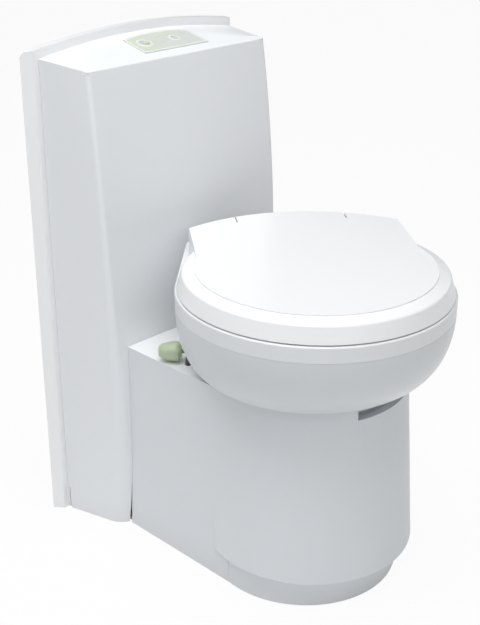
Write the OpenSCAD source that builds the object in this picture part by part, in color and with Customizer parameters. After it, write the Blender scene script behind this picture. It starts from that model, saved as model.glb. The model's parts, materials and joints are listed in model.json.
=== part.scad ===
// Cassette toilet for a caravan or motorhome: a console with its own flush water,
// a bowl that swivels on a round-fronted pedestal, and a waste tank that slides
// out through the wall behind. Millimetres, +Z up, front towards -Y. The origin
// is on the floor, under the axis that the bowl swivels about.

/* [Pose] */
// How far the bowl is swivelled at rest, clockwise from above, in degrees
swivel_rest = 38; // [0:1:60]

/* [Console] */
// Height of the console's top above the floor, at its front edge
console_h = 734; // [715:1:750]
// Rise of the top from its front edge to the middle of its rear edge
top_rise = 22; // [16:1:28]
// Radius of the arch of the top's rear edge
top_arch_r = 1115; // [1000:5:1300]
// Width of the console at its rear edge
console_w = 374; // [368:1:378]
// Width across the front creases where they are furthest apart
face_w = 356; // [350:1:360]
// Height at which the front creases are furthest apart
face_wide_z = 520; // [480:5:560]
// Radius that the front creases bow with, seen from the front
crease_bow_r = 6450; // [6000:50:8000]
// Distance from the swivel axis to the foremost line of the front face
face_y = 222; // [221:1:226]
// Height of the foremost line of the front face
face_z = 300; // [280:5:330]
// Radius that the front face bows with, seen from the side
face_bow_r = 3200; // [3100:50:3600]
// Corner radius of the creases at the top
crease_r = 7; // [5:1:14]
// Growth of the corner radius from the top to the floor
crease_fade = 32; // [10:1:40]
// Wall of the console shell
console_wall = 4; // [3:0.5:5]
// Distance from the swivel axis to the wall behind the toilet
wall_y = 362; // [360:1:370]

/* [Back panel] */
// Width of the back panel
panel_w = 412; // [406:1:420]
// Thickness of the back panel at its rim
panel_depth = 15; // [13:0.5:17]
// Height of the back panel in the middle
panel_h = 767; // [765:1:785]
// Fall of the panel's arch from the middle to its corners
panel_fall = 17; // [12:1:20]
// Corner radius of the back panel
panel_corner_r = 12; // [6:1:18]
// Plate thickness of the back panel inside its rim
panel_plate = 4; // [3:0.5:6]
// Bevel of the rim's sides, from the wall to the front
panel_bevel = 12; // [6:1:14]
// Depth of the step that the console shell seats on
step_t = 3.3; // [2:0.1:4]
// How far the step lies inside the console's outline
step_in = 2; // [1:0.5:3]
// Height of the service opening's upper edge
hatch_top = 276; // [272:1:290]
// Height of the service opening's sill
hatch_sill = 11; // [9:1:12]

/* [Pedestal] */
// Height of the pedestal's deck
deck_z = 323; // [322:1:326]
// Thickness of the deck
deck_t = 4; // [3:0.5:5]
// Wall of the pedestal
ped_wall = 4; // [3:0.5:5]
// Radius of the round front at the deck
ped_top_r = 150.5; // [150:0.5:156]
// Radius of the round front above the plinth
ped_low_r = 158; // [155:1:162]
// How far the round front leans forward above the plinth
ped_lean = 14; // [8:1:18]
// Half of the pedestal's width at the deck
ped_half_w = 149; // [148:0.5:150]
// Draft of the pedestal's sides from the deck to the floor
ped_draft = 5; // [3:0.5:6]
// Height of the recessed plinth
plinth_h = 52; // [40:1:58]
// Radius of the plinth
plinth_r = 145; // [143:1:147]
// How far the plinth's centre lies in front of the swivel axis
plinth_fwd = 4; // [3:0.5:7]
// Half of the angle that the front window spans
window_half = 20; // [14:1:24]
// Height of the front window
window_h = 14; // [12:0.5:14]

/* [Swivel] */
// Radius of the bowl's spigot in its bearing
spigot_r = 116; // [114:0.5:117]
// Height of the bearing ring above the deck
bearing_h = 15; // [14:0.5:16]
// Outer radius of the bearing ring
bearing_r = 142; // [138:0.5:144]
// Wall of the spigot
spigot_wall = 10; // [8:0.5:11]

/* [Bowl] */
// Height of the bowl's rim
rim_z = 466; // [464:1:470]
// Radius of the rim's round front
rim_r = 192; // [190:0.5:194]
// How far the rim's centre lies in front of the swivel axis
rim_fwd = 58; // [54:1:60]
// Height of the band round the rim
band_h = 22; // [18:1:26]
// Radius of the bowl's foot
foot_r = 155; // [153:0.5:157]
// How far the foot's centre lies in front of the swivel axis
foot_fwd = 32; // [30:0.5:34]
// Gap between the bowl's foot and the deck
foot_gap = 17.3; // [17:0.1:19]
// Angle of the bowl's bulge, from its band to its foot
bulge = 68; // [60:1:75]
// Radius of the rim's rear corners
rear_corner_r = 28; // [24:1:32]
// Half of the distance between the centres of the rim's rear corners
rear_corner_x = 132; // [124:1:134]
// Distance from the swivel axis to the centres of the rim's rear corners
rear_corner_y = 126; // [120:1:127]
// Wall of the bowl
bowl_wall = 4; // [3:0.5:5]
// Half of the bowl opening's width
mouth_w = 112; // [106:1:114]
// Length of the straight part of the bowl's opening
mouth_len = 66; // [50:1:70]
// Radius of the bowl's outlet
outlet_r = 34; // [30:0.5:35]

/* [Seat and lid] */
// Distance from the swivel axis back to the seat's and the lid's hinge
hinge_y = 139; // [136:0.5:139.5]
// Radius of the hinge pins
hinge_pin_r = 3; // [2.5:0.1:3.5]
// Radius of the hinge's knuckles
knuckle_r = 6; // [5.5:0.1:6.3]
// Gap between the rim and the lid's skirt
seam_gap = 2.6; // [2:0.1:4]
// Height of the lid's top above the rim
lid_rise = 31.5; // [31:0.5:33]
// Radius of the round between the lid's side and its shoulder
lid_edge_r = 4; // [3.5:0.5:5]
// How far the lid's lower edge lies in from the rim
lid_inset = 3; // [2:0.5:4]
// How far the lid's side leans in from its lower edge to its shoulder
lid_lean = 7; // [5:0.5:8]
// Fall of the lid's shoulder from the lid's top to its side
lid_drop = 7; // [5:0.5:8]
// Wall of the lid
lid_wall = 3; // [2.5:0.1:3]
// Half of the width of the lid's rear part
lid_rear_w = 157; // [154:0.5:160]
// How far the lid reaches back behind its hinge
lid_back = 25; // [22:0.5:25.5]
// Radius of the arch of the lid's rear edge
lid_arch_r = 250; // [240:1:270]
// Half of the distance between the lid's two slits
slit_x = 83; // [82:0.5:86]
// Radius of the raised field on the lid
field_r = 165; // [160:0.5:167]
// Height of the raised field above the lid's shoulder
field_t = 2; // [1.5:0.1:3]
// Radius of the seat
seat_r = 181; // [178:0.5:181.5]
// Thickness of the seat
seat_t = 14; // [12:0.5:15]
// Half of the seat opening's width
seat_hole_w = 104; // [98:1:110]
// Height of the rubber bumpers under the seat
bumper_h = 2.5; // [2.2:0.1:3]

/* [Valve] */
// Outer radius of the valve ring
ring_r = 143; // [141:0.5:143.5]
// Width of the valve ring
ring_w = 10; // [8:0.5:12]
// Height of the valve ring
ring_h = 14.5; // [12:0.5:15]
// Turn of the valve ring from shut to open, in degrees
valve_turn = 38; // [36:1:40]
// Angle from the front to the knob with the valve shut, clockwise, in degrees
knob_angle = 136; // [134:1:140]
// Radius that the lever's post stands at
post_at = 170; // [168:0.5:172]
// Radius of the lever's post and stem
stem_r = 3; // [2.5:0.1:3]
// Radius that the middle of the knob stands at
knob_at = 196; // [195:0.5:197]
// Radius of the knob
knob_r = 15; // [13:0.5:15]
// Height of the stem above the deck
stem_h = 16; // [16:0.1:17]
// Radius that the drive pin stands at
pin_at = 112; // [108:1:114]
// Radius of the drive pin
drive_pin_r = 4; // [3:0.5:5]

/* [Waste tank] */
// Room between the waste tank and the pedestal's side
tank_side = 11; // [10:0.5:20]
// Height of the waste tank's top above the floor
tank_top = 216; // [200:1:220]
// Wall of the waste tank
tank_wall = 4; // [3:0.5:5]
// Height of the tray that the tank stands over
tray_t = 5; // [4:0.5:6]
// Height of the runners on the tray
runner_h = 8.5; // [8:0.5:10]
// Radius of the tank's wheels
wheel_r = 16; // [14:0.5:17]
// Radius of the wheels' axle
axle_r = 4; // [3:0.5:5]
// Thickness of the valve blade
blade_t = 5; // [4:0.5:6]
// Height of the blade's housing above the tank
housing_up = 28; // [26:1:30]
// Outer radius of the pouring spout
spout_r = 24; // [20:1:26]
// Length of the pouring spout from its pivot
spout_len = 172; // [150:1:176]

/* [Flush water] */
// Room between the flush tank and the console's side
flush_side = 27; // [25:1:47]
// Height of the flush tank's floor above the ground
flush_z = 345; // [340:1:360]
// Room above the flush tank
flush_room = 51; // [49:1:89]
// Radius of the pump
pump_r = 19; // [16:0.5:22]
// Radius of the rinse hose
hose_r = 5; // [4:0.5:6]

/* [Control panel] */
// Width of the control panel
pad_w = 126; // [110:1:140]
// Distance from the middle of the console to the middle of the panel
pad_x = 10; // [-20:1:20]
// Thickness of the control panel
pad_t = 1.6; // [1.2:0.1:2.4]
// Radius of the flush button
button_r = 8; // [6:0.5:9]
// Travel of the flush button
button_travel = 2; // [1.5:0.1:2.5]

/* [Hidden] */

// Sizes that follow from the covers round them
tank_w = 2 * (ped_half_w - ped_wall - tank_side);
flush_w = console_w - 2 * flush_side;
flush_h = console_h - flush_z - flush_room;

// Fit clearances: curved faces that pass each other, and a shaft in its bore
gap = 0.3;
run = 0.05;
big = 2000;
skin = 0.01;
fine = 64;
coarse = 32;

// Colours
white = "#eef0f2";
shade = "#dfe3e6";
sage = "#bccbb0";
panel_tint = "#c9d2c8";
grey = "#8d9498";
dark = "#33373a";
black = "#1b1c1e";
steel = "#b9bec3";
board = "#2f6a46";
clear_blue = "#bcd6dc";

// Console: outline and levels
console_back = wall_y - panel_depth - step_t - gap;
function face_at(z) = face_y + face_bow_r - sqrt(pow(face_bow_r, 2) - pow(z - face_z, 2));
function crease_at(z) = face_w / 2 - pow(z - face_wide_z, 2) / (2 * crease_bow_r);
function crease_r_at(z) = crease_r + crease_fade * pow((console_h - z) / console_h, 3);
function top_at(x) = console_h + top_rise - x * x / (2 * top_arch_r);
level_n = 14;
corner_n = 8;

// The console's rear corner is drawn in by this much per unit of depth
function taper_at(z) = (console_w / 2 - crease_at(z)) / (console_back - face_at(z));

// Outline of the console at height z, drawn in by t, as one half from the front
function console_half(z, t) =
    let (tan_t = taper_at(z), tau = atan(tan_t), fy = face_at(z) + t)
    let (w = crease_at(z) + t * tan_t - t / cos(tau), r = max(crease_r_at(z) - t, 3))
    let (cx = w - r / tan((90 + tau) / 2))
    concat([for (i = [0:corner_n]) let (a = -90 + (90 - tau) * i / corner_n)
            [cx + r * cos(a), fy + r + r * sin(a)]],
        [[w + (console_back - fy) * tan_t, console_back]]);
function mirrored(half) = concat(half, [for (i = [len(half) - 1:-1:0]) [-half[i].x, half[i].y]]);

// Corner points of the console's outline at every level, and of its rear face
function console_points(t, lift) = concat(
    [for (i = [0:level_n]) let (z = (console_h - t + lift) * i / level_n)
        for (p = mirrored(console_half(min(z, console_h), t))) [p.x, p.y, z]],
    [for (p = rear_face(t, lift)) [p.x, console_back, p.y]]);
module console_solid(t, lift) {
    p = console_points(t, lift);
    hull() polyhedron(p, [for (i = [0:3:len(p) - 3]) [i, i + 1, i + 2]]);
}
arch_n = 24;
function rear_face(t, lift) =
    let (w = console_w / 2 - t / cos(atan(taper_at(console_h))))
    concat([[-w, 0]], [for (i = [0:arch_n]) let (x = -w + 2 * w * i / arch_n)
        [x, top_at(x) - t + lift]], [[w, 0]]);

// Bay that the pedestal and the console share behind the round front
bay_half_w = ped_half_w - ped_wall - gap;
bay_top = deck_z - deck_t - 2;

module console_shell() {
    color(white) difference() {
        console_solid(0, 0);
        difference() {
            console_solid(console_wall, 0);
            // the rear edge stays as thick as the wall, with a groove round it
            translate([-big / 2, console_back - skin, -big / 2]) cube([big, big, big]);
        }
        // open at the back and at the foot
        translate([0, console_back - 2, 0]) rotate([90, 0, 0])
            translate([0, 0, -4]) linear_extrude(8) rear_inner(console_wall);
        translate([-console_w, face_y + console_wall, -1])
            linear_extrude(2) square([2 * console_w, big]);
        // way for the waste tank, from the pedestal into the console
        translate([-bay_half_w, face_y - 30, -1])
            cube([2 * bay_half_w, 60, bay_top - 6 + 1]);
        pad_hole();
    }
}
module rear_inner(t) {
    polygon(rear_face(t, 0));
}

// Back panel
panel_front = wall_y - panel_depth;
panel_arch_r = (pow(panel_w / 2, 2) + pow(panel_fall, 2)) / (2 * panel_fall);
panel_corner_z = panel_h - panel_arch_r
    + sqrt(pow(panel_arch_r - panel_corner_r, 2) - pow(panel_w / 2 - panel_corner_r, 2));
hatch_half_w = tank_w / 2 + 8;
rim_in = 30;
wall_bolt_x = console_w - 74;
wall_bolt_z = panel_h - 397;
wall_bolt_low = 330;
wall_bolt_r = 3.5;
gland_x = 120;
gland_z = 310;
gland_r = 3.5;
gland_out = 8;
gland_len = 14;
fill_x = -100;
fill_z = flush_z + flush_h - 60;
fill_r = 20;

module panel_outline() {
    corner_x = panel_w / 2 - panel_corner_r;
    difference() {
        intersection() {
            translate([-panel_w / 2, 0]) square([panel_w, panel_h]);
            translate([0, panel_h - panel_arch_r]) circle(r = panel_arch_r, $fn = fine);
        }
        for (s = [-1, 1]) difference() {
            translate([s * corner_x - (s < 0 ? panel_corner_r + 1 : 0), panel_corner_z])
                square([panel_corner_r + 1, 100]);
            translate([s * corner_x, panel_corner_z]) circle(r = panel_corner_r, $fn = fine);
        }
    }
}
module up_wall(y0, y1) {
    translate([0, y1, 0]) rotate([90, 0, 0]) linear_extrude(y1 - y0) children();
}
module step_outline(t) {
    w = console_w / 2 - t;
    intersection() {
        translate([-w, 0]) square([2 * w, panel_h]);
        translate([0, console_h + top_rise - t - top_arch_r])
            circle(r = top_arch_r, $fn = fine);
    }
}
module back_panel() {
    pocket_w = panel_w / 2 - rim_in;
    color(white) difference() {
        union() {
            up_wall(panel_front, wall_y) panel_outline();
            up_wall(panel_front - step_t, panel_front + 1) step_outline(step_in);
        }
        // pocket behind the rim, open to the console
        up_wall(panel_front - step_t - 1, wall_y - panel_plate) difference() {
            step_outline(step_in + rim_in - 8);
            translate([-hatch_half_w - 6, 0]) square([2 * hatch_half_w + 12, hatch_top + 6]);
        }
        // service opening for the waste tank
        up_wall(panel_front - step_t - 1, wall_y + 1)
            translate([-hatch_half_w, hatch_sill])
            square([2 * hatch_half_w, hatch_top - hatch_sill]);
        // bevelled sides
        for (s = [-1, 1]) translate([s * (panel_w / 2), wall_y - 1, -1])
            rotate([0, 0, s * -atan(panel_bevel / panel_depth)])
            translate([s > 0 ? 0 : -big, -big, 0]) cube([big, big, big]);
        for (x = [-1, 1], z = [0, 1]) translate([x * wall_bolt_x / 2, wall_y + 1,
            wall_bolt_low + z * wall_bolt_z])
            rotate([90, 0, 0]) cylinder(r = wall_bolt_r, h = panel_plate + 2, $fn = coarse);
        translate([gland_x, wall_y + 1, gland_z])
            rotate([90, 0, 0]) cylinder(r = gland_out + gap, h = panel_plate + 2, $fn = coarse);
        translate([fill_x, wall_y + 1, fill_z])
            rotate([90, 0, 0]) cylinder(r = fill_r + gap, h = panel_plate + 2, $fn = coarse);
    }
}

// Cable gland: a bushed hole for the vehicle's supply cable
module cable_gland() {
    flange_t = 3;
    color(black) translate([gland_x, wall_y - 1, gland_z]) rotate([90, 0, 0]) difference() {
        union() {
            cylinder(r = gland_out, h = gland_len, $fn = fine);
            translate([0, 0, panel_plate - 1 + gap])
                cylinder(r = gland_out + 4, h = flange_t, $fn = fine);
        }
        translate([0, 0, -1]) cylinder(r = gland_r, h = gland_len + 2, $fn = fine);
    }
}

// Pedestal
lean_h = deck_z - plinth_h;
lean_a = atan(ped_lean / lean_h);
face_clear = face_bow_r + gap;
window_z = deck_z - deck_t - window_h - 3;
ledge_t = 5;
ledge_z = window_z - ledge_t;
slot_w = 2 * stem_r + 3;

module round_front(t, z0, z1) {
    // leaning cone above the plinth, cut square at both ends
    intersection() {
        translate([0, -ped_lean, plinth_h]) rotate([-lean_a, 0, 0])
            translate([0, 0, -20]) cylinder(
                r1 = ped_low_r - t + 20 * (ped_low_r - ped_top_r) / lean_h,
                r2 = ped_top_r - t - 20 * (ped_low_r - ped_top_r) / lean_h,
                h = lean_h + 40, $fn = fine);
        translate([-big / 2, -big / 2, z0]) cube([big, big, z1 - z0]);
    }
}
module side_block(t, z0, z1, y0, y1) {
    // straight sides with their draft
    intersection() {
        up_wall(y0, y1) polygon([[-ped_half_w + ped_draft + t, 0], [ped_half_w - ped_draft - t, 0],
            [ped_half_w - t, deck_z], [-ped_half_w + t, deck_z]]);
        translate([-big / 2, -big / 2, z0]) cube([big, big, z1 - z0]);
    }
}
module pedestal_solid(t, top) {
    low = t > 0 ? -1 : 0;
    round_front(t, plinth_h + (t > 0 ? t : 0), top);
    side_block(t, plinth_h + (t > 0 ? t : 0), top, 0, wall_y);
    translate([0, -plinth_fwd, low])
        cylinder(r = plinth_r - t, h = plinth_h + (t > 0 ? t : 0) - low + skin, $fn = fine);
    side_block(t, low, plinth_h + t + skin, 15, wall_y);
}
module sector(r0, r1, a0, a1, z0, z1) {
    // part of a ring between two angles, counted clockwise from the front
    translate([0, 0, z0]) rotate([0, 0, -90 - a1])
        rotate_extrude(angle = a1 - a0, $fn = fine)
        translate([r0, 0]) square([r1 - r0, z1 - z0]);
}
function at_angle(r, a) = [-r * sin(a), -r * cos(a)];
module lever_slot(r, w, z0, z1) {
    a0 = knob_angle - 4;
    a1 = knob_angle + valve_turn + 4;
    sector(r - w / 2, r + w / 2, a0, a1, z0, z1);
    for (a = [a0, a1]) translate(concat(at_angle(r, a), [z0]))
        cylinder(r = w / 2, h = z1 - z0, $fn = coarse);
}
module pedestal_shell() {
    color(white) difference() {
        union() {
            difference() {
                pedestal_solid(0, deck_z);
                pedestal_solid(ped_wall, deck_z - deck_t);
            }
            // shelf that the valve ring turns on
            intersection() {
                pedestal_solid(1, deck_z - deck_t);
                translate([0, 0, ledge_z]) difference() {
                    cylinder(r = ring_r + 6, h = ledge_t, $fn = fine);
                    translate([0, 0, -1])
                        cylinder(r = ring_r - ring_w + 1.5, h = ledge_t + 2, $fn = fine);
                }
            }
        }
        // the rear end follows the console's front face
        translate([-big / 2, face_clear - gap + face_y, face_z]) rotate([0, 90, 0])
            cylinder(r = face_clear, h = big, $fn = 360);
        translate([0, 0, deck_z - deck_t - 1])
            cylinder(r = spigot_r + 2, h = deck_t + 2, $fn = fine);
        lever_slot(post_at, slot_w, deck_z - deck_t - 1, deck_z + 1);
        sector(ring_r - 6, ped_low_r + 20, -window_half, window_half,
            window_z, window_z + window_h);
        for (a = bearing_bolts) translate(concat(at_angle(bolt_at, a), [deck_z - deck_t - 1]))
            cylinder(r = screw_r, h = deck_t + 2, $fn = coarse);
    }
}

// Tray on the floor, with the runners that the waste tank slides on
floor_bolt_x = 140;
floor_bolt_y = 250;
floor_bolt_mid = 110;
floor_bolt_r = 3.5;
runner_w = 16;
runner_x = 92;
module base_tray() {
    color(shade) difference() {
        union() {
            intersection() {
                union() {
                    translate([0, -plinth_fwd, 0])
                        cylinder(r = plinth_r - ped_wall - gap, h = tray_t, $fn = fine);
                    side_block(ped_wall + gap, 0, tray_t, 15, console_back);
                }
                translate([-big / 2, -big / 2, 0]) cube([big, big / 2 + console_back, tray_t]);
            }
            for (s = [-1, 1]) translate([s * runner_x - runner_w / 2, -70, tray_t - 1])
                cube([runner_w, console_back - gap + 70, runner_h + 1]);
        }
        for (x = [-1, 1], y = [-1, 1])
            translate([x * floor_bolt_x / 2, floor_bolt_mid + y * floor_bolt_y / 2, -1])
            cylinder(r = floor_bolt_r, h = big, $fn = coarse);
    }
}

// Swivel bearing
bearing_top = deck_z + bearing_h;
foot_z = deck_z + foot_gap;
screw_r = 2.25;
bolt_at = 132;
bearing_bolts = [30, 90, 210, 270];
module bearing_ring() {
    color(grey) difference() {
        translate([0, 0, deck_z]) difference() {
            cylinder(r = bearing_r, h = bearing_h, $fn = fine);
            translate([0, 0, -1]) cylinder(r = spigot_r + run, h = bearing_h + 2, $fn = fine);
        }
        for (a = bearing_bolts) translate(concat(at_angle(bolt_at, a), [deck_z - 1])) {
            cylinder(r = screw_r, h = bearing_h + 2, $fn = coarse);
            translate([0, 0, bearing_h - 3]) cylinder(r = 2 * screw_r, h = 5, $fn = coarse);
        }
    }
}
module bearing_screws() {
    color(steel) for (a = bearing_bolts)
        translate(concat(at_angle(bolt_at, a), [deck_z - deck_t])) {
            cylinder(r = screw_r - run, h = deck_t + bearing_h - 4, $fn = coarse);
            translate([0, 0, deck_t + bearing_h - 4])
                cylinder(r = 2 * screw_r - gap, h = 3, $fn = coarse);
        }
}

// Bowl outline at level k, from its band (0) to its foot (1), drawn in by t
band_z = rim_z - band_h;
bowl_n = 9;
bowl_depth = band_z - foot_z;
function bulge_at(i) = bulge * i / bowl_n;
function drop_k(i) = (1 - cos(bulge_at(i))) / (1 - cos(bulge));
function level_z(i) = band_z - gap - (bowl_depth - gap) * sin(bulge_at(i)) / sin(bulge);
function mix(a, b, k) = a + (b - a) * k;
module on_bowl() {
    rotate([0, 0, -swivel_rest]) children();
}
module bowl_level(i, t) {
    k = drop_k(i);
    translate([0, -mix(rim_fwd, foot_fwd, k), 0])
        cylinder(r = mix(rim_r, foot_r, k) - t, h = skin, $fn = fine);
    for (s = [-1, 1]) translate([s * mix(rear_corner_x, rear_corner_x / 2, k),
        mix(rear_corner_y, rear_corner_y / 2, k), 0])
        cylinder(r = rear_corner_r - t, h = skin, $fn = coarse);
}
module bowl_solid(t, over) {
    hull() for (i = [0:bowl_n])
        translate([0, 0, level_z(i) - (i == 0 ? skin : 0)
            + (t > 0 && i == 0 ? over : 0) - (t > 0 && i == bowl_n ? over : 0)])
            bowl_level(i, t);
}
module bowl_shell() {
    color(shade) on_bowl() difference() {
        bowl_solid(0, 0);
        bowl_solid(bowl_wall, 1);
    }
}

// Rim: the band, its top and the ledge round the bowl's mouth
corner_d = sqrt(pow(rear_corner_x, 2) + pow(rear_corner_y + rim_fwd, 2));
tangent_a = atan2(rear_corner_y + rim_fwd, rear_corner_x)
    - acos((rim_r - rear_corner_r) / corner_d);
module rim_outline(t) {
    r = rim_r - t;
    rc = rear_corner_r - t;
    translate([0, -rim_fwd]) circle(r = r, $fn = fine);
    for (s = [-1, 1]) translate([s * rear_corner_x, rear_corner_y]) circle(r = rc, $fn = fine);
    polygon([[r * cos(tangent_a), -rim_fwd + r * sin(tangent_a)],
        [rear_corner_x + rc * cos(tangent_a), rear_corner_y + rc * sin(tangent_a)],
        [rear_corner_x, rear_corner_y + rc], [-rear_corner_x, rear_corner_y + rc],
        [-rear_corner_x - rc * cos(tangent_a), rear_corner_y + rc * sin(tangent_a)],
        [-r * cos(tangent_a), -rim_fwd + r * sin(tangent_a)]]);
}
module oval(half_w, straight, mid) {
    for (s = [-1, 1]) translate([0, mid + s * straight / 2]) circle(r = half_w, $fn = fine);
    translate([-half_w, mid - straight / 2]) square([2 * half_w, straight]);
}
mouth_mid = -rim_fwd;
rim_t = 4;
well_w = 92;
well_y0 = 108;
well_y1 = 148;
module bowl_rim() {
    color(white) on_bowl() difference() {
        translate([0, 0, band_z]) linear_extrude(band_h) rim_outline(0);
        translate([0, 0, band_z - 1]) linear_extrude(band_h - rim_t + 1) rim_outline(bowl_wall);
        translate([0, 0, band_z]) linear_extrude(band_h + 1) oval(mouth_w, mouth_len, mouth_mid);
        translate([-well_w, well_y0, band_z]) cube([2 * well_w, well_y1 - well_y0, band_h + 1]);
        // room for the rear edge of the lid when it stands open
        translate([-well_w + 6, well_y1 - 1, bracket_top]) cube([2 * well_w - 12, 20, rim_t + 1]);
    }
}

// Liner: the bowl that holds the water, with its outlet pipe
liner_top = rim_z - rim_t;
outlet_z = deck_z - 22;
seal_h = 5;
tank_seal_h = 3;
plate_t = 4;
housing_z = tank_top + housing_up;
blade_z = housing_z + plate_t + gap;
pipe_z = tank_top + housing_up + 2 * plate_t + blade_t + 3 * gap + tank_seal_h + seal_h;
liner_levels = [[liner_top, 0, 0], [rim_z - 36, 7, 4], [rim_z - 84, 26, 18],
    [rim_z - 122, 50, 36], [rim_z - 148, 70, 52], [outlet_z, mouth_w - outlet_r - 2, rim_fwd]];
module liner_solid(t) {
    hull() for (l = liner_levels) for (s = [-1, 1])
        translate([0, mouth_mid + l[2] + s * (mouth_len / 2) * (liner_half_w(l) - outlet_r)
            / (mouth_w - outlet_r), l[0] - (l[0] > outlet_z ? skin : 0)])
            cylinder(r = liner_half_w(l) + t, h = skin, $fn = coarse);
}
function liner_half_w(l) = mouth_w - l[1];
nozzle_r = 7;
nozzle_y = mouth_mid + mouth_len / 2 + mouth_w - 10;
nozzle_z = rim_z - 24;
module bowl_liner() {
    pipe_top = outlet_z + 4;
    color(white) on_bowl() difference() {
        union() {
            liner_solid(3);
            translate([0, 0, pipe_z]) cylinder(r = outlet_r + 4, h = pipe_top - pipe_z, $fn = fine);
            // flange under the rim
            translate([0, 0, liner_top - 4]) linear_extrude(4 - gap)
                oval(mouth_w + 6, mouth_len, mouth_mid);
        }
        translate([0, 0, 0]) liner_solid(0);
        translate([0, 0, liner_top - 5]) linear_extrude(10) oval(mouth_w, mouth_len, mouth_mid);
        translate([0, 0, pipe_z - 1]) cylinder(r = outlet_r, h = 60, $fn = fine);
        translate([0, nozzle_y - 5, nozzle_z]) rotate([-90, 0, 0])
            cylinder(r = nozzle_r + gap, h = 40, $fn = coarse);
    }
}
module outlet_seal() {
    color(black) on_bowl() translate([0, 0, pipe_z - seal_h]) difference() {
        cylinder(r = outlet_r + 7, h = seal_h, $fn = fine);
        translate([0, 0, -1]) cylinder(r = outlet_r + 1, h = seal_h + 2, $fn = fine);
    }
}

// Turntable under the bowl, its spigot and the ring that keeps it down
table_z = bearing_top + gap;
table_t = foot_z + 2.4 - table_z;
table_hole = spigot_r - spigot_wall;
retainer_t = 5;
retainer_top = deck_z - deck_t - gap;
module turntable() {
    color(grey) on_bowl() difference() {
        union() {
            translate([0, -foot_fwd, table_z])
                cylinder(r = foot_r - bowl_wall - gap - 0.5, h = table_t, $fn = fine);
            translate([0, 0, retainer_top])
                cylinder(r = spigot_r, h = table_z - retainer_top + 1, $fn = fine);
        }
        translate([0, 0, table_z - 1]) cylinder(r = table_hole, h = table_t + 2, $fn = fine);
        translate([0, 0, retainer_top - 1])
            cylinder(r = spigot_r - spigot_wall, h = table_z - retainer_top + 1, $fn = fine);
        for (a = retainer_bolts)
            translate(concat(at_angle(retainer_bolt_at, a), [retainer_top - 1]))
            cylinder(r = screw_r, h = 13, $fn = coarse);
    }
}
retainer_bolts = [0, 90, 180, 270];
retainer_bolt_at = spigot_r - spigot_wall / 2;
retainer_r = spigot_r + 6;
module retaining_ring() {
    color(dark) on_bowl() translate([0, 0, retainer_top - retainer_t]) difference() {
        cylinder(r = retainer_r, h = retainer_t, $fn = fine);
        translate([0, 0, -1])
            cylinder(r = spigot_r - spigot_wall - 2, h = retainer_t + 2, $fn = fine);
        for (a = retainer_bolts) translate(concat(at_angle(retainer_bolt_at, a), [-1]))
            cylinder(r = screw_r, h = retainer_t + 2, $fn = coarse);
    }
}
module retainer_screws() {
    color(steel) on_bowl() for (a = retainer_bolts)
        translate(concat(at_angle(retainer_bolt_at, a), [retainer_top - retainer_t - 2.5])) {
            cylinder(r = 2 * screw_r, h = 2.5, $fn = coarse);
            translate([0, 0, 1]) cylinder(r = screw_r - run, h = retainer_t + 12, $fn = coarse);
        }
}

// Rinse water: nozzle in the bowl, elbow under the deck and hose from the pump
module rinse_nozzle() {
    color(white) on_bowl() translate([0, nozzle_y, nozzle_z]) difference() {
        union() {
            rotate([-90, 0, 0]) cylinder(r = nozzle_r, h = 24, $fn = coarse);
            translate([0, 15, 0]) rotate([-90, 0, 0]) cylinder(r = nozzle_r + 4, h = 3, $fn = coarse);
        }
        translate([0, -1, 0]) rotate([-90, 0, 0]) cylinder(r = 4, h = 20, $fn = coarse);
    }
}
elbow_at = (retainer_r + ring_r - ring_w) / 2;
elbow_r = 4.5;
elbow_h = 22;
elbow_z = deck_z - deck_t - gap - elbow_h;
module rinse_elbow() {
    color(grey) translate([0, elbow_at, elbow_z]) {
        cylinder(r = elbow_r, h = elbow_h, $fn = coarse);
        translate([0, 0, -2 * hose_r + 1]) cylinder(r = elbow_r, h = 2 * hose_r, $fn = coarse);
    }
}

// Flush tank in the console, with its filler, pump and hose
flush_y0 = face_at(console_h) + console_wall + 8;
flush_y1 = wall_y - panel_depth - step_t - 1;
flush_wall = 3;
pump_x = 60;
pump_y = (flush_y0 + flush_y1) / 2;
module flush_tank() {
    color(shade) difference() {
        translate([-flush_w / 2, flush_y0, flush_z])
            cube([flush_w, wall_y - panel_plate - gap - flush_y0, flush_h]);
        translate([-flush_w / 2 + flush_wall, flush_y0 + flush_wall, flush_z + flush_wall])
            cube([flush_w - 2 * flush_wall,
                wall_y - panel_plate - gap - flush_y0 - 2 * flush_wall,
                flush_h - 2 * flush_wall]);
        translate([fill_x, wall_y, fill_z]) rotate([90, 0, 0])
            cylinder(r = fill_r - 3, h = 20, $fn = coarse);
        translate([pump_x, pump_y, flush_z - 1]) cylinder(r = hose_r + gap, h = 8, $fn = coarse);
    }
}
cap_flange = 2.4;
module filler_neck() {
    neck_len = panel_plate - cap_flange + gap;
    color(white) translate([fill_x, wall_y - cap_flange, fill_z]) rotate([90, 0, 0]) difference() {
        cylinder(r = fill_r, h = neck_len, $fn = fine);
        translate([0, 0, -1]) cylinder(r = fill_r - 3, h = neck_len + 3, $fn = fine);
    }
}
module filler_cap() {
    cap_t = 9;
    color(dark) translate([fill_x, wall_y, fill_z]) rotate([90, 0, 0]) difference() {
        union() {
            cylinder(r = fill_r - 3 - gap, h = cap_t, $fn = fine);
            cylinder(r = fill_r - gap, h = cap_flange - gap, $fn = fine);
        }
        // grip of the cap
        for (s = [-1, 1]) translate([s * 8 - 4.5, -9, -1]) cube([9, 18, 1 + cap_t - 2]);
    }
}
module flush_pump() {
    color(dark) translate([pump_x, pump_y, flush_z + flush_wall + gap]) {
        cylinder(r = pump_r, h = 52, $fn = coarse);
        cylinder(r = pump_r + 3, h = 6, $fn = coarse);
        translate([0, 0, 52]) cylinder(r = 6, h = 10, $fn = coarse);
    }
}
hose_z = elbow_z - hose_r + 1;
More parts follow.
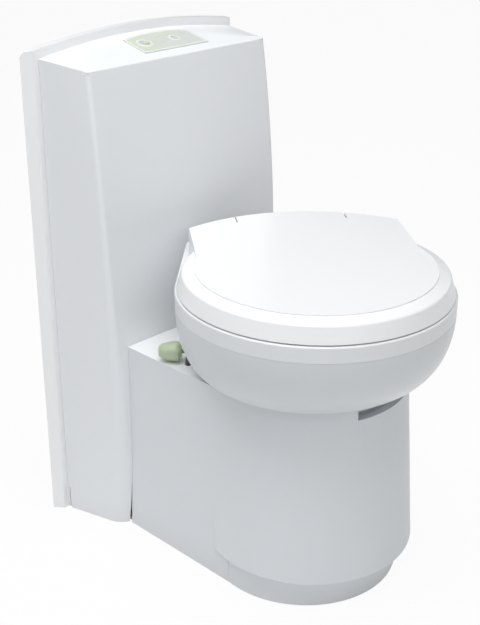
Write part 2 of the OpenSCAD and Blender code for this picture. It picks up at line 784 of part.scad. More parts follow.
hose_bend_y = 210;
hose_route = [[pump_x, pump_y, flush_z + flush_wall], [pump_x, pump_y, hose_z],
    [0, hose_bend_y, hose_z], [0, elbow_at + elbow_r, hose_z]];
module rinse_hose() {
    color(dark) for (i = [0:len(hose_route) - 2]) {
        a = hose_route[i];
        b = hose_route[i + 1];
        d = b - a;
        len_ab = norm(d);
        translate(a) rotate([0, acos(d.z / len_ab), atan2(d.y, d.x)])
            cylinder(r = hose_r, h = len_ab, $fn = coarse);
        if (i > 0) translate(a) sphere(r = hose_r + 0.8, $fn = coarse);
    }
}

// Control panel on the console's top
pad_front_y = 271;
pad_rear_y = 318;
pad_arch_r = 205;
module pad_outline(t) {
    intersection() {
        translate([pad_x - pad_w / 2 + t, pad_front_y + t]) square([pad_w - 2 * t, 70]);
        translate([pad_x, pad_rear_y + 12 - pad_arch_r]) circle(r = pad_arch_r - t, $fn = fine);
    }
}
module pad_hole() {
    translate([0, 0, console_h - 20]) linear_extrude(60) pad_outline(8);
}
module control_panel() {
    color(panel_tint) difference() {
        intersection() {
            translate([0, 0, console_h - 10]) linear_extrude(60) pad_outline(0);
            console_solid(0, pad_t + gap);
        }
        console_solid(0, gap);
        translate([button_x, button_y, console_h - 20])
            cylinder(r = button_r + gap, h = 60, $fn = fine);
        translate([lens_x, button_y, console_h - 20]) cylinder(r = 5 + gap, h = 60, $fn = fine);
    }
}
button_x = pad_x - pad_w / 2 + 24;
button_y = 300;
button_top = top_near(button_x, button_y) + pad_t + 1.2;
lens_x = pad_x + 20;
function top_near(x, y) = console_h
    + (top_at(x) - console_h) * (y - face_at(console_h)) / (console_back - face_at(console_h));
module flush_button() {
    color(sage) translate([button_x, button_y, button_top - 12])
        cylinder(r = button_r, h = 12, $fn = fine);
}
module indicator_lens() {
    h = 9;
    color("#9fb58f") translate([lens_x, button_y, top_near(lens_x, button_y) + pad_t - h + 0.6])
        cylinder(r = 5, h = h, $fn = fine);
}
board_w = pad_w - 26;
module control_board() {
    board_z = button_top - 12 - button_travel - 2.5;
    color(board) translate([pad_x - board_w / 2, button_y - 16, board_z - 1.6])
        cube([board_w, 30, 1.6]);
    // posts that hang the board under the panel
    for (x = [pad_x + 4 - board_w / 2, pad_x - 4 + board_w / 2])
        translate([x, button_y - 13, board_z - 0.1])
        cylinder(r = 2.5, h = top_near(x, button_y - 13) - board_z, $fn = coarse);
    color(black) {
        translate([button_x - 4, button_y - 4, board_z - 0.1]) cube([8, 8, 2.4]);
        translate([lens_x - 3, button_y - 3, board_z - 0.1]) cube([6, 6, 3]);
    }
}

// Valve ring with its lever, its knob and the pin that drives the blade
ring_z = window_z + gap;
shut_pin = -valve_turn / 2;
module valve_ring() {
    rib_t = 2;
    color(grey) {
        translate([0, 0, ring_z]) difference() {
            union() {
                cylinder(r = ring_r - 2, h = ring_h, $fn = fine);
                for (z = [1, ring_h - rib_t - 1]) translate([0, 0, z])
                    cylinder(r = ring_r, h = rib_t, $fn = fine);
            }
            translate([0, 0, -1]) cylinder(r = ring_r - ring_w, h = ring_h + 2, $fn = fine);
        }
        // arm that reaches in over the tank and carries the drive pin
        rotate([0, 0, -90 - shut_pin]) translate([pin_at - 8, -8, ring_z])
            cube([ring_r - ring_w / 2 - pin_at + 8, 16, 6]);
    }
}
pin_low = blade_z - 3;
module drive_pin() {
    color(steel) translate(concat(at_angle(pin_at, shut_pin), [pin_low]))
        cylinder(r = drive_pin_r, h = ring_z - pin_low, $fn = fine);
}
stem_z = deck_z + stem_h;
knob_len = 34;
module valve_lever() {
    color(grey) rotate([0, 0, -90 - knob_angle]) {
        translate([ring_r - 2 + gap, -5, ring_z + 4])
            cube([post_at - ring_r + 2 - gap, 10, 5]);
        translate([post_at, 0, ring_z + 4]) cylinder(r = stem_r + 2, h = 5, $fn = coarse);
        translate([post_at, 0, ring_z + 5])
            cylinder(r = stem_r, h = stem_z - ring_z - 5, $fn = coarse);
        translate([post_at, 0, stem_z]) sphere(r = stem_r, $fn = coarse);
        translate([post_at, 0, stem_z]) rotate([0, 90, 0])
            cylinder(r = stem_r, h = knob_at - knob_len / 2 + 8 - post_at, $fn = coarse);
    }
}
module valve_knob() {
    socket = 9;
    color(sage) rotate([0, 0, -90 - knob_angle]) translate([knob_at - knob_len / 2, 0, stem_z])
        rotate([0, 90, 0]) difference() {
            rotate_extrude($fn = fine) polygon([[0, 0], [7, 0], [9, 1], [knob_r - 1.5, 6],
                [knob_r, 10], [knob_r, 14], [knob_r - 1, 22], [knob_r - 2.5, 28],
                [knob_r - 4.2, 31.5], [knob_r - 6.5, 33.5], [knob_r - 8, knob_len], [0, knob_len]]);
            translate([0, 0, -1]) cylinder(r = stem_r + run, h = socket + 1, $fn = coarse);
        }
}

// Hinge of the seat and the lid
lid_top = rim_z + lid_rise;
lid_low = rim_z + seam_gap;
lid_rear_y = hinge_y + lid_back;
hinge_z = lid_top - lid_wall - knuckle_r - 0.5;
lug_x = 66;
lug_t = 8;
bracket_t = 4;
rim_back = rear_corner_y + rear_corner_r - bowl_wall;
bracket_top = rim_z - rim_t - gap;
module hinge_lug(x) {
    translate([x, hinge_y, hinge_z]) rotate([0, 90, 0])
        cylinder(r = knuckle_r, h = lug_t, $fn = fine);
    translate([x, hinge_y - knuckle_r, bracket_top - 1])
        cube([lug_t, knuckle_r + 3, hinge_z - bracket_top + 1]);
}
bracket_bolts = [-84, -30, 30, 84];
bracket_bolt_y = [100, 152];
module hinge_bracket() {
    color(white) on_bowl() difference() {
        union() {
            translate([-well_w - 4, well_y0 - 14, bracket_top - bracket_t])
                cube([2 * well_w + 8, rim_back - gap - well_y0 + 14, bracket_t]);
            hinge_lug(lug_x);
            hinge_lug(-lug_x - lug_t);
        }
        for (s = [-1, 1]) translate([s * (lug_x + lug_t / 2) - lug_t, hinge_y, hinge_z])
            rotate([0, 90, 0]) cylinder(r = hinge_pin_r + run, h = 2 * lug_t, $fn = fine);
        for (x = bracket_bolts) translate([x, bracket_bolt_y[0], bracket_top - bracket_t - 1])
            cylinder(r = screw_r, h = bracket_t + 2, $fn = coarse);
    }
}
module hinge_screws() {
    color(steel) on_bowl() for (x = bracket_bolts)
        translate([x, bracket_bolt_y[0], bracket_top - bracket_t - 2.5]) {
            cylinder(r = 2 * screw_r, h = 2.5, $fn = coarse);
            cylinder(r = screw_r - run, h = bracket_t + 2.5, $fn = coarse);
        }
}
boss_x = lug_x + lug_t + 0.4;
boss_t = slit_x - 1.4 - boss_x;
arm_t = 9;
arm_x = lug_x - 0.4 - arm_t;
module hinge_pins() {
    color(steel) on_bowl() for (s = [-1, 1])
        translate([s > 0 ? arm_x : -boss_x - boss_t, hinge_y, hinge_z]) rotate([0, 90, 0])
        cylinder(r = hinge_pin_r, h = boss_x + boss_t - arm_x, $fn = fine);
}

// Seat
seat_z = rim_z + bumper_h + 0.3;
seat_edge = 6;
module seat_arm(x) {
    translate([x, hinge_y, hinge_z]) rotate([0, 90, 0])
        cylinder(r = knuckle_r, h = arm_t, $fn = fine);
    translate([x, 96, seat_z + 2]) cube([arm_t, hinge_y - 96, 12]);
    translate([x, hinge_y - 10, seat_z + 2]) cube([arm_t, 10, hinge_z - seat_z - 2]);
}
module seat() {
    color(white) on_bowl() difference() {
        union() {
            translate([0, -rim_fwd, seat_z]) rotate_extrude($fn = 2 * fine)
                polygon(concat([[0, 0], [seat_r, 0], [seat_r, seat_t - seat_edge]],
                    [for (i = [1:6]) [seat_r - seat_edge + seat_edge * cos(15 * i),
                        seat_t - seat_edge + seat_edge * sin(15 * i)]], [[0, seat_t]]));
            seat_arm(arm_x);
            seat_arm(-arm_x - arm_t);
        }
        translate([0, 0, seat_z - 1])
            linear_extrude(seat_t + 2) oval(seat_hole_w, mouth_len, -rim_fwd - 4);
        for (s = [-1, 1]) translate([s * (arm_x + arm_t / 2) - arm_t, hinge_y, hinge_z])
            rotate([0, 90, 0]) cylinder(r = hinge_pin_r + run, h = 2 * arm_t, $fn = fine);
        // room for the lugs of the hinge
        for (s = [-1, 1]) translate([s * (lug_x + lug_t / 2) - lug_t / 2 - 1,
            hinge_y - knuckle_r - 3, seat_z - 1]) cube([lug_t + 2, 60, 40]);
    }
}
bumper_at = [[-150, -40], [150, -40], [-90, 80], [90, 80], [-100, -190], [100, -190]];
module seat_bumpers() {
    color(grey) on_bowl() for (p = bumper_at) translate([p.x, p.y, rim_z + 0.3])
        cylinder(r = 7, h = bumper_h, $fn = coarse);
}

// Lid
function unit(v) = v / norm(v);
// Points of the arc of radius r that rounds the corner b between a and c
function fillet(a, b, c, r, n) = let(
        u = unit(a - b), v = unit(c - b), half = acos(u * v) / 2,
        mid = b + r / sin(half) * unit(u + v),
        p = b + r / tan(half) * u - mid, q = b + r / tan(half) * v - mid,
        from = atan2(p.y, p.x), to = atan2(q.y, q.x))
    [for (i = [0:n]) mid + r * [cos(mix(from, to, i / n)), sin(mix(from, to, i / n))]];
lid_mid = rim_fwd + 2;
lid_foot_r = rim_r - lid_inset;
// Disc of the lid: leaning side, sloping shoulder and raised field, drawn in by t
module lid_disc(t) {
    low = t > 0 ? lid_low - 5 : lid_low;
    foot = [lid_foot_r - t, low];
    edge = [lid_foot_r - lid_lean - t, lid_top - lid_drop - t];
    step = [field_r - t, lid_top - field_t - t];
    rotate_extrude($fn = 2 * fine)
        polygon(concat([[0, low], foot], fillet(foot, edge, step, lid_edge_r - t, 6),
            [step, [field_r - t, lid_top - t], [0, lid_top - t]]));
}
module lid_rear(t) {
    low = t > 0 ? lid_low - 5 : lid_low;
    w = lid_rear_w - t;
    top = lid_top - t;
    rr = lid_edge_r - t;
    intersection() {
        // seen from above: straight sides and an arched rear edge
        translate([0, 0, low]) linear_extrude(top - low) intersection() {
            translate([-w, -lid_mid]) square([2 * w, lid_mid + lid_rear_y]);
            translate([0, lid_rear_y - lid_arch_r]) circle(r = lid_arch_r - t, $fn = fine);
        }
        // seen from the front: upper edges rounded outside, cut at a slant inside
        up_wall(-lid_mid, lid_rear_y) union() {
            translate([-w, low]) square([2 * w, top - rr - low]);
            if (t > 0) polygon([[-w, top - rr], [w, top - rr], [w - rr, top], [rr - w, top]]);
            else {
                translate([-w + rr, low]) square([2 * (w - rr), top - low]);
                for (s = [-1, 1]) translate([s * (w - rr), top - rr])
                    circle(r = rr, $fn = fine);
            }
        }
    }
}
module lid() {
    color(white) on_bowl() difference() {
        union() {
            difference() {
                union() {
                    translate([0, -rim_fwd, 0]) lid_disc(0);
                    lid_rear(0);
                }
                translate([0, -rim_fwd, 0]) lid_disc(lid_wall);
                lid_rear(lid_wall);
            }
            // bosses that turn on the hinge pins
            for (s = [-1, 1]) translate([s > 0 ? boss_x : -boss_x - boss_t, 0, 0]) {
                translate([0, hinge_y, hinge_z]) rotate([0, 90, 0])
                    cylinder(r = knuckle_r, h = boss_t, $fn = fine);
                translate([0, hinge_y - knuckle_r, hinge_z])
                    cube([boss_t, knuckle_r + 4, lid_top - lid_wall - hinge_z + 1]);
            }
        }
        for (s = [-1, 1]) translate([s * (boss_x + boss_t / 2) - boss_t, hinge_y, hinge_z])
            rotate([0, 90, 0]) cylinder(r = hinge_pin_r + run, h = 2 * boss_t, $fn = fine);
        // slits beside the hinge
        for (s = [-1, 1]) translate([s * slit_x - 1.2, hinge_y - 14, lid_low - 6])
            cube([2.4, 60, lid_rise + 10]);
        // the skirt stops short where it would meet the lugs and the rim as the lid opens
        for (s = [-1, 1]) translate([s > 0 ? 52 : -slit_x, hinge_y - knuckle_r - 3, lid_low - 6])
            cube([slit_x - 52, 60, lid_top - lid_wall - 0.5 - lid_low + 6]);
        translate([-52.5, hinge_y - knuckle_r - 3, lid_low - 6])
            cube([105, 60, hinge_z - knuckle_r - lid_low + 8]);
        for (s = [-1, 1]) translate([s > 0 ? slit_x - 1 : -slit_x - 39, hinge_y + 5, lid_low - 6])
            cube([40, 60, hinge_z - knuckle_r - 1 - lid_low + 6]);
    }
}
lid_bumper_at = [[-148, -60], [148, -60], [-84, -180], [84, -180]];
module lid_bumpers() {
    top = lid_top - lid_wall;
    z0 = seat_z + seat_t + 0.3;
    color(grey) on_bowl() for (p = lid_bumper_at) translate([p.x, p.y, z0])
        cylinder(r = 6, h = top - z0, $fn = coarse);
}

// Waste tank
tank_z = tray_t + runner_h + 0.5;
tank_back = wall_y - 6;
tank_mid = -4;
neck_r = outlet_r + 12;
spout_recess_y = 258;
spout_floor = 146;
pivot_x = 48 - tank_w / 2;
pivot_y = 306;
module tank_body(t) {
    translate([0, tank_mid, tank_z + t])
        cylinder(r = tank_w / 2 - t, h = tank_top - tank_z - 2 * t, $fn = fine);
    translate([-tank_w / 2 + t, tank_mid, tank_z + t])
        cube([tank_w - 2 * t, tank_back - tank_mid - t, tank_top - tank_z - 2 * t]);
}
wheel_w = 14;
wheel_y = -58;
wheel_z = tank_z + wheel_r;
wheel_x = tank_w / 2 - 34;
axle_len = wheel_w + 4 + 2 * (tank_wall - 1);
float_pin_r = 2;
float_x = tank_w / 2 - 38;
float_y = 150;
float_z = 62;
float_r = 16;
float_reach = 60;
float_drop = asin((float_z - tank_z - tank_wall - float_r - 1) / float_reach);
module waste_tank() {
    color(shade) difference() {
        union() {
            // bracket of the float's arm
            translate([float_x + 6, float_y - 6, float_z - 6])
                cube([tank_w / 2 - float_x - 7, 12, 12]);
            difference() {
                tank_body(0);
                difference() {
                    tank_body(tank_wall);
                    // floor and front of the recess that holds the spout
                    translate([-big / 2, spout_recess_y - tank_wall, spout_floor - tank_wall])
                        cube([big, big, big]);
                    // wheel arches
                    for (s = [-1, 1]) translate([s * wheel_x, wheel_y, wheel_z])
                        rotate([0, 90, 0])
                        cylinder(r = wheel_r + 3 + tank_wall, h = wheel_w + 4 + 2 * tank_wall,
                            center = true, $fn = fine);
                }
            }
            translate([0, 0, tank_top - 1])
                cylinder(r = neck_r, h = housing_up + 1, $fn = fine);
        }
        // spout recess in the upper rear edge
        translate([-big / 2, spout_recess_y, spout_floor]) cube([big, big, big]);
        translate([0, 0, tank_top - tank_wall - 2])
            cylinder(r = outlet_r + 2, h = housing_up + 10, $fn = fine);
        for (s = [-1, 1]) translate([s * wheel_x, wheel_y, wheel_z]) rotate([0, 90, 0])
            cylinder(r = wheel_r + 3, h = wheel_w + 4, center = true, $fn = fine);
        for (s = [-1, 1]) translate([s * wheel_x, wheel_y, wheel_z]) rotate([0, 90, 0])
            cylinder(r = axle_r + run, h = axle_len + 0.2, center = true, $fn = fine);
        translate([float_x, float_y, float_z]) rotate([0, 90, 0])
            cylinder(r = float_pin_r + run, h = 18, $fn = fine);
        // pouring hole under the spout and the vent beside it
        translate([pivot_x, pivot_y, spout_floor - tank_wall - 1])
            cylinder(r = spout_r - 6, h = tank_wall + 2, $fn = fine);
        translate([vent_x, vent_y, spout_floor - tank_wall - 1])
            cylinder(r = 4 + run, h = tank_wall + 2, $fn = fine);
    }
}
module tank_wheels() {
    color(dark) for (s = [-1, 1]) translate([s * wheel_x, wheel_y, wheel_z])
        rotate([0, 90, 0]) difference() {
            cylinder(r = wheel_r, h = wheel_w, center = true, $fn = fine);
            cylinder(r = axle_r + run, h = wheel_w + 2, center = true, $fn = fine);
        }
}
module tank_axle() {
    color(steel) for (s = [-1, 1]) translate([s * wheel_x, wheel_y, wheel_z])
        rotate([0, 90, 0]) cylinder(r = axle_r, h = axle_len, center = true, $fn = fine);
}

// Blade housing on the tank's neck
blade_half = outlet_r + 4;
travel = 2 * pin_at * sin(valve_turn / 2);
house_x0 = -travel - blade_half - 5;
house_x1 = blade_half + 5;
house_y = blade_half + 9;
lid_plate_z = blade_z + blade_t + gap;
module blade_housing() {
    color(grey) difference() {
        union() {
            translate([house_x0, -house_y, housing_z])
                cube([house_x1 - house_x0, 2 * house_y, lid_plate_z + plate_t - housing_z]);
            for (y = [-1, 1]) translate([house_x0 + 8, y * (house_y - 8), tank_top])
                cylinder(r = 6, h = housing_up + 1, $fn = coarse);
        }
        translate([house_x0 + 4, -blade_half - gap, housing_z + plate_t])
            cube([house_x1 - house_x0 - 8, 2 * (blade_half + gap), lid_plate_z - housing_z - plate_t]);
        // way for the blade's arm, open to the front
        translate([-travel - 6, -big, housing_z + plate_t])
            cube([travel + 6 + pin_x + arm_half + 2, big, lid_plate_z - housing_z - plate_t]);
        translate([0, 0, housing_z - 1]) cylinder(r = outlet_r, h = 40, $fn = fine);
    }
}
arm_half = drive_pin_r + 6;
pin_x = pin_at * sin(valve_turn / 2);
module valve_blade() {
    color(dark) difference() {
        union() {
            translate([-blade_half, -blade_half, blade_z])
                cube([2 * blade_half, 2 * blade_half, blade_t]);
            translate([pin_x - arm_half, -pin_at - 12, blade_z])
                cube([2 * arm_half, pin_at + 12 - blade_half + 1, blade_t]);
        }
        // slot that the drive pin works in, open to the front
        translate([pin_x - drive_pin_r - 0.6, -pin_at - 20, blade_z - 1])
            cube([2 * drive_pin_r + 1.2, 20 + pin_at * (1 - cos(valve_turn / 2)) + drive_pin_r + 3,
                blade_t + 2]);
    }
}
module tank_seal() {
    z = lid_plate_z + plate_t;
    color(black) translate([0, 0, z]) difference() {
        cylinder(r = outlet_r + 9, h = tank_seal_h, $fn = fine);
        translate([0, 0, -1]) cylinder(r = outlet_r + 1, h = 20, $fn = fine);
    }
}

// Handle, spout, vent and float of the tank
handle_z = 112;
handle_half = 62;
handle_drop = 46;
bar_r = 2.5;
handle_pin_r = 1.6;
handle_y = tank_back + bar_r + gap;
lug_half = handle_half - bar_r - gap - 4;
module handle_lugs() {
    color(shade) for (s = [-1, 1]) translate([s * lug_half - 4, tank_back, handle_z - 4])
        difference() {
            cube([8, 2 * (handle_y - tank_back), 8]);
            translate([-1, handle_y - tank_back, 4]) rotate([0, 90, 0])
                cylinder(r = handle_pin_r + run, h = 10, $fn = coarse);
        }
}
module tank_handle() {
    color(grey) translate([0, handle_y, handle_z]) {
        for (s = [-1, 1]) translate([s * handle_half, 0, -handle_drop])
            cylinder(r = bar_r, h = handle_drop, $fn = coarse);
        translate([-handle_half, 0, -handle_drop]) rotate([0, 90, 0])
            cylinder(r = bar_r, h = 2 * handle_half, $fn = coarse);
        for (s = [-1, 1], z = [0, -handle_drop]) translate([s * handle_half, 0, z])
            sphere(r = bar_r, $fn = coarse);
        for (s = [-1, 1]) translate([s > 0 ? lug_half - 4 : -handle_half, 0, 0])
            rotate([0, 90, 0])
            cylinder(r = handle_pin_r, h = handle_half - lug_half + 4, $fn = coarse);
    }
}
spout_z = spout_floor + 38;
module pouring_spout() {
    color(shade) difference() {
        union() {
            translate([pivot_x, pivot_y, spout_floor + gap])
                cylinder(r = spout_r, h = spout_z - spout_floor - gap, $fn = fine);
            translate([pivot_x, pivot_y, spout_z]) sphere(r = spout_r, $fn = fine);
            translate([pivot_x, pivot_y, spout_z]) rotate([0, 90, 0])
                cylinder(r = spout_r, h = spout_len - 14, $fn = fine);
        }
        translate([pivot_x, pivot_y, spout_floor - 1])
            cylinder(r = spout_r - 4, h = spout_z - spout_floor + 1, $fn = fine);
        translate([pivot_x, pivot_y, spout_z]) sphere(r = spout_r - 4, $fn = fine);
        translate([pivot_x, pivot_y, spout_z]) rotate([0, 90, 0])
            cylinder(r = spout_r - 4, h = spout_len, $fn = fine);
    }
}
module spout_cap() {
    cap_x = pivot_x + spout_len - 14 + gap;
    color(dark) translate([cap_x, pivot_y, spout_z]) rotate([0, 90, 0]) {
        cylinder(r = spout_r + 1, h = 13.5, $fn = fine);
    }
}
vent_x = 60;
vent_y = 280;
vent_travel = 2;
module vent_button() {
    color(sage) translate([vent_x, vent_y, spout_floor - tank_wall - 3]) {
        cylinder(r = 4, h = tank_wall + 4 + vent_travel, $fn = fine);
        translate([0, 0, tank_wall + 3.5 + vent_travel]) cylinder(r = 7, h = 4, $fn = fine);
    }
}

// Float that shows how full the tank is, on an arm
module level_float() {
    color(grey) translate([float_x, float_y, float_z]) {
        rotate([0, 90, 0]) cylinder(r = float_pin_r, h = 16, $fn = coarse);
        translate([-5, 0, 0]) rotate([0, 90, 0]) cylinder(r = 5, h = 5, $fn = coarse);
        rotate([-float_drop, 0, 0]) translate([-5, 0, -2]) cube([5, float_reach, 4]);
        rotate([-float_drop, 0, 0]) translate([-5, float_reach, 0]) rotate([0, -90, 0])
            cylinder(r = float_r, h = 24, $fn = fine);
        rotate([-float_drop, 0, 0]) translate([-6, float_reach, 0]) rotate([0, 90, 0])
            cylinder(r = 3, h = 6, $fn = coarse);
    }
}

console_shell();
back_panel();
pedestal_shell();
base_tray();
bearing_ring();
bearing_screws();
control_panel();
flush_button();
indicator_lens();
control_board();
flush_tank();
filler_neck();
filler_cap();
flush_pump();
rinse_hose();
rinse_elbow();
cable_gland();
valve_ring();
valve_lever();
valve_knob();
drive_pin();
bowl_shell();
bowl_rim();
bowl_liner();
turntable();
retaining_ring();
retainer_screws();
outlet_seal();
rinse_nozzle();
hinge_bracket();
hinge_screws();
hinge_pins();
seat();
seat_bumpers();
lid();
lid_bumpers();
waste_tank();
blade_housing();
valve_blade();
tank_seal();
tank_wheels();
tank_axle();
tank_handle();
handle_lugs();
pouring_spout();
spout_cap();
vent_button();
level_float();
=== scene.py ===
"""Looks of a swivel cassette toilet: console, pedestal, turning bowl with its lid, and waste tank.

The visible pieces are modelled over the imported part, every piece gets its finish,
and the floor, the soft lamps and the camera are set. Lengths are in metres.
"""
import json
import math

import bpy
from mathutils import Matrix, Quaternion, Vector


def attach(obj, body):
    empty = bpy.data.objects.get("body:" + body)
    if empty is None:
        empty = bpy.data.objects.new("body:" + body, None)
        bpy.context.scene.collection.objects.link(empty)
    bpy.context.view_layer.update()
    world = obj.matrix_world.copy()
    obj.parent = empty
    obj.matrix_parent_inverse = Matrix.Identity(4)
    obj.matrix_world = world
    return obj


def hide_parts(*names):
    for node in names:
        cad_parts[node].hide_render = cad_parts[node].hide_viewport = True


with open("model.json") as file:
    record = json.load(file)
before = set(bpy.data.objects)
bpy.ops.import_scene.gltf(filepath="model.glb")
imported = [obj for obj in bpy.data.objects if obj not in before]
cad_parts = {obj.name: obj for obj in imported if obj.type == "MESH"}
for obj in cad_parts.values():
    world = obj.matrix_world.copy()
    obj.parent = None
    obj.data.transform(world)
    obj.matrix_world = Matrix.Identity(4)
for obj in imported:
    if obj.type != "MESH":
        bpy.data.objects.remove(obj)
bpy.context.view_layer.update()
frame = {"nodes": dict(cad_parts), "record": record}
nodes = frame["nodes"]
body_of_node = {}
for body_name, members in frame["record"]["behaviour"]["bodies"].items():
    for member in members:
        body_of_node[member] = body_name
slot_of_node = {}
for part in frame["record"].get("subparts", []):
    slot_of_node[part["node"]] = part["material_slot"]

# ------------------------------------------------------------------ sizes
SWIVEL_REST = math.radians(38)

CONSOLE_H = 0.734
CONSOLE_BACK = 0.3434
CONSOLE_HALF = 0.187
TOP_CENTRE = 0.756
TOP_ARCH_R = 1.115
FACE_Y = 0.222
FACE_Z = 0.300
FACE_BOW_R = 3.200
CREASE_HALF = 0.178
CREASE_Z = 0.520
CREASE_BOW_R = 6.450
CREASE_R = 0.007
CREASE_FADE = 0.032
CONSOLE_TOP_R = 0.0016
CONSOLE_LEVELS = 28
BAY_HALF = 0.1447
BAY_TOP = 0.311
FOOT_SLIT_T = 0.0045
FOOT_SLIT_H = 0.040
WALL = 0.004

PANEL_CORNER_R = 0.013
PANEL_FRONT_R = 0.0035
PANEL_SIDE = 0.2055

DECK_Z = 0.323

RIM_R = 0.192
RIM_FWD = 0.058
RIM_EDGE_R = 0.0026
FOOT_R = 0.155
FOOT_FWD = 0.032
FOOT_Z = 0.3403
BAND_Z = 0.444
BAND_GAP = 0.0003
CORNER_R = 0.028
CORNER_X = 0.132
CORNER_Y = 0.126
BULGE = math.radians(68)
BOWL_LEVELS = 26

LID_TOP = 0.4975
LID_LOW = 0.468
LID_FOOT_R = 0.189
LID_EDGE_R = 0.182
LID_DROP = 0.007
LID_CORNER_R = 0.0040
LID_REAR_R = 0.0010
LID_SHOULDER_R = 0.0022
FIELD_R = 0.165
FIELD_STEP = 0.0013
LID_REAR_HALF = 0.157
LID_REAR_Y = 0.164
LID_ARCH_R = 0.250
LID_WALL = 0.003
SLIT_X = 0.083
SLIT_HALF = 0.0012
SLIT_RUN = 0.014
HINGE_Y = 0.139
HINGE_Z = 0.488
KNUCKLE_R = 0.006
KNUCKLE_ROOM = 0.003
BOSS_X = 0.0744
BOSS_T = 0.0072
BOSS_ROOT = 0.004
PIN_R = 0.003
NOTCH_X = 0.052
HEEL_RUN = 0.039
HEEL_Y = 0.005
MIDDLE_HALF = 0.0525
LID_SPARE = 0.002  # what the lid's form has below its lower edge, to be cut off
BEHIND = 0.2  # a place behind the lid, for what cuts its rear
CUT = 0.01  # how far a cutter stands out of what it cuts
TOUCH = 0.0001  # how near a point is when it counts as on a face

VENT_X = 0.060
VENT_Y = 0.280
VENT_CLEAR = 0.036  # edges of the tank this near to the vent button stay sharp
TANK_TOP = 0.12

KNOB_ANGLE = math.radians(136)
KNOB_FROM = 0.179
STEM_Z = 0.339
KNOB_END_R = 0.007
# radius and distance from the knob's inner end
KNOB_PROFILE = (
    (0.0100, 0.0006), (0.0148, 0.0045), (0.0158, 0.0090), (0.0152, 0.0140), (0.0138, 0.0220),
    (0.0118, 0.0285), (0.0102, 0.0320), (0.0078, 0.0340), (0.0050, 0.0342))

GROOVES = 3
GROOVE_R = 0.0009
GROOVE_FIRST = 0.0030
GROOVE_PITCH = 0.0028

ALONG_X = (0, math.pi / 2, 0)  # turns a standing rod to lie along the x axis


# ------------------------------------------------------------------ modelling by hand
def drop_selection():
    if bpy.context.object and bpy.context.object.mode != "OBJECT":
        bpy.ops.object.mode_set(mode="OBJECT")
    bpy.ops.object.select_all(action="DESELECT")


def take(obj):
    """Make obj the only selected piece, and the active one."""
    drop_selection()
    obj.select_set(True)
    bpy.context.view_layer.objects.active = obj


def edit(obj):
    take(obj)
    bpy.ops.object.mode_set(mode="EDIT")


def done():
    bpy.ops.object.mode_set(mode="OBJECT")


def settle(obj):
    """Put the piece's place and turn into its mesh."""
    take(obj)
    bpy.ops.object.transform_apply(location=True, rotation=True, scale=True)


def choose(obj, kind, test):
    """Select the vertices, edges or faces that pass the test, and stay in edit mode.

    A vertex is tested by its place, an edge by its middle and direction, a face by its
    centre and normal."""
    if obj.mode != "EDIT":
        edit(obj)
    bpy.ops.mesh.select_mode(type=kind)
    bpy.ops.mesh.select_all(action="DESELECT")
    done()
    mesh = obj.data
    if kind == "VERT":
        for v in mesh.vertices:
            v.select = test(v.co)
    elif kind == "EDGE":
        for e in mesh.edges:
            a, b = mesh.vertices[e.vertices[0]].co, mesh.vertices[e.vertices[1]].co
            e.select = test((a + b) / 2, (b - a).normalized())
    else:
        for p in mesh.polygons:
            p.select = test(p.center, p.normal)
    bpy.ops.object.mode_set(mode="EDIT")


def keep_sharp(obj, angle, test):
    """Select the edges that fold more than the angle and whose middle passes the test."""
    choose(obj, "EDGE", lambda mid, way: False)
    bpy.ops.mesh.edges_select_sharp(sharpness=math.radians(angle))
    done()
    mesh = obj.data
    kept = []
    for e in mesh.edges:
        mid = (mesh.vertices[e.vertices[0]].co + mesh.vertices[e.vertices[1]].co) / 2
        kept.append(e.select and test(mid))
    edit(obj)
    bpy.ops.mesh.select_mode(type="EDGE")
    bpy.ops.mesh.select_all(action="DESELECT")
    done()
    for e, keep in zip(mesh.edges, kept):
        e.select = keep
    bpy.ops.object.mode_set(mode="EDIT")


def bevel(width, segments):
    """Round the selected edges."""
    bpy.ops.mesh.bevel(offset=width, segments=segments, affect="EDGES", clamp_overlap=True)


def ring(count, radius, place, turn=(0, 0, 0)):
    """Add a circle of points to the piece in edit mode."""
    bpy.ops.mesh.primitive_circle_add(vertices=count, radius=radius, location=place, rotation=turn)


def new_piece(name):
    """An empty mesh at the origin, in edit mode, to add primitives to."""
    drop_selection()
    bpy.ops.mesh.primitive_plane_add(size=0.01, location=(0, 0, 0))
    obj = bpy.context.object
    obj.name = obj.data.name = name
    bpy.ops.object.mode_set(mode="EDIT")
    bpy.ops.mesh.select_all(action="SELECT")
    bpy.ops.mesh.delete(type="VERT")
    return obj


def block(name, x0, x1, y0, y1, z0, z1):
    """A box between two corners."""
    drop_selection()
    middle = ((x0 + x1) / 2, (y0 + y1) / 2, (z0 + z1) / 2)
    bpy.ops.mesh.primitive_cube_add(size=1, location=middle)
    obj = bpy.context.object
    obj.name = obj.data.name = name
    bpy.ops.object.mode_set(mode="EDIT")
    bpy.ops.mesh.select_all(action="SELECT")
    bpy.ops.transform.resize(value=(x1 - x0, y1 - y0, z1 - z0), center_override=middle)
    settle(obj)
    return obj


def rod(name, radius, length, middle, turn=(0, 0, 0), count=64):
    """A round bar of that length about its middle, standing unless turned."""
    drop_selection()
    bpy.ops.mesh.primitive_cylinder_add(vertices=count, radius=radius, depth=length,
                                        location=middle, rotation=turn)
    obj = bpy.context.object
    obj.name = obj.data.name = name
    settle(obj)
    return obj


def combine(obj, other, how="DIFFERENCE"):
    """Cut other out of obj, add it, or keep what they share, and remove other."""
    take(obj)
    step = obj.modifiers.new("combine", "BOOLEAN")
    step.operation = how
    step.solver = "EXACT"
    step.object = other
    bpy.ops.object.modifier_apply(modifier=step.name)
    take(other)
    bpy.ops.object.delete()
    return obj


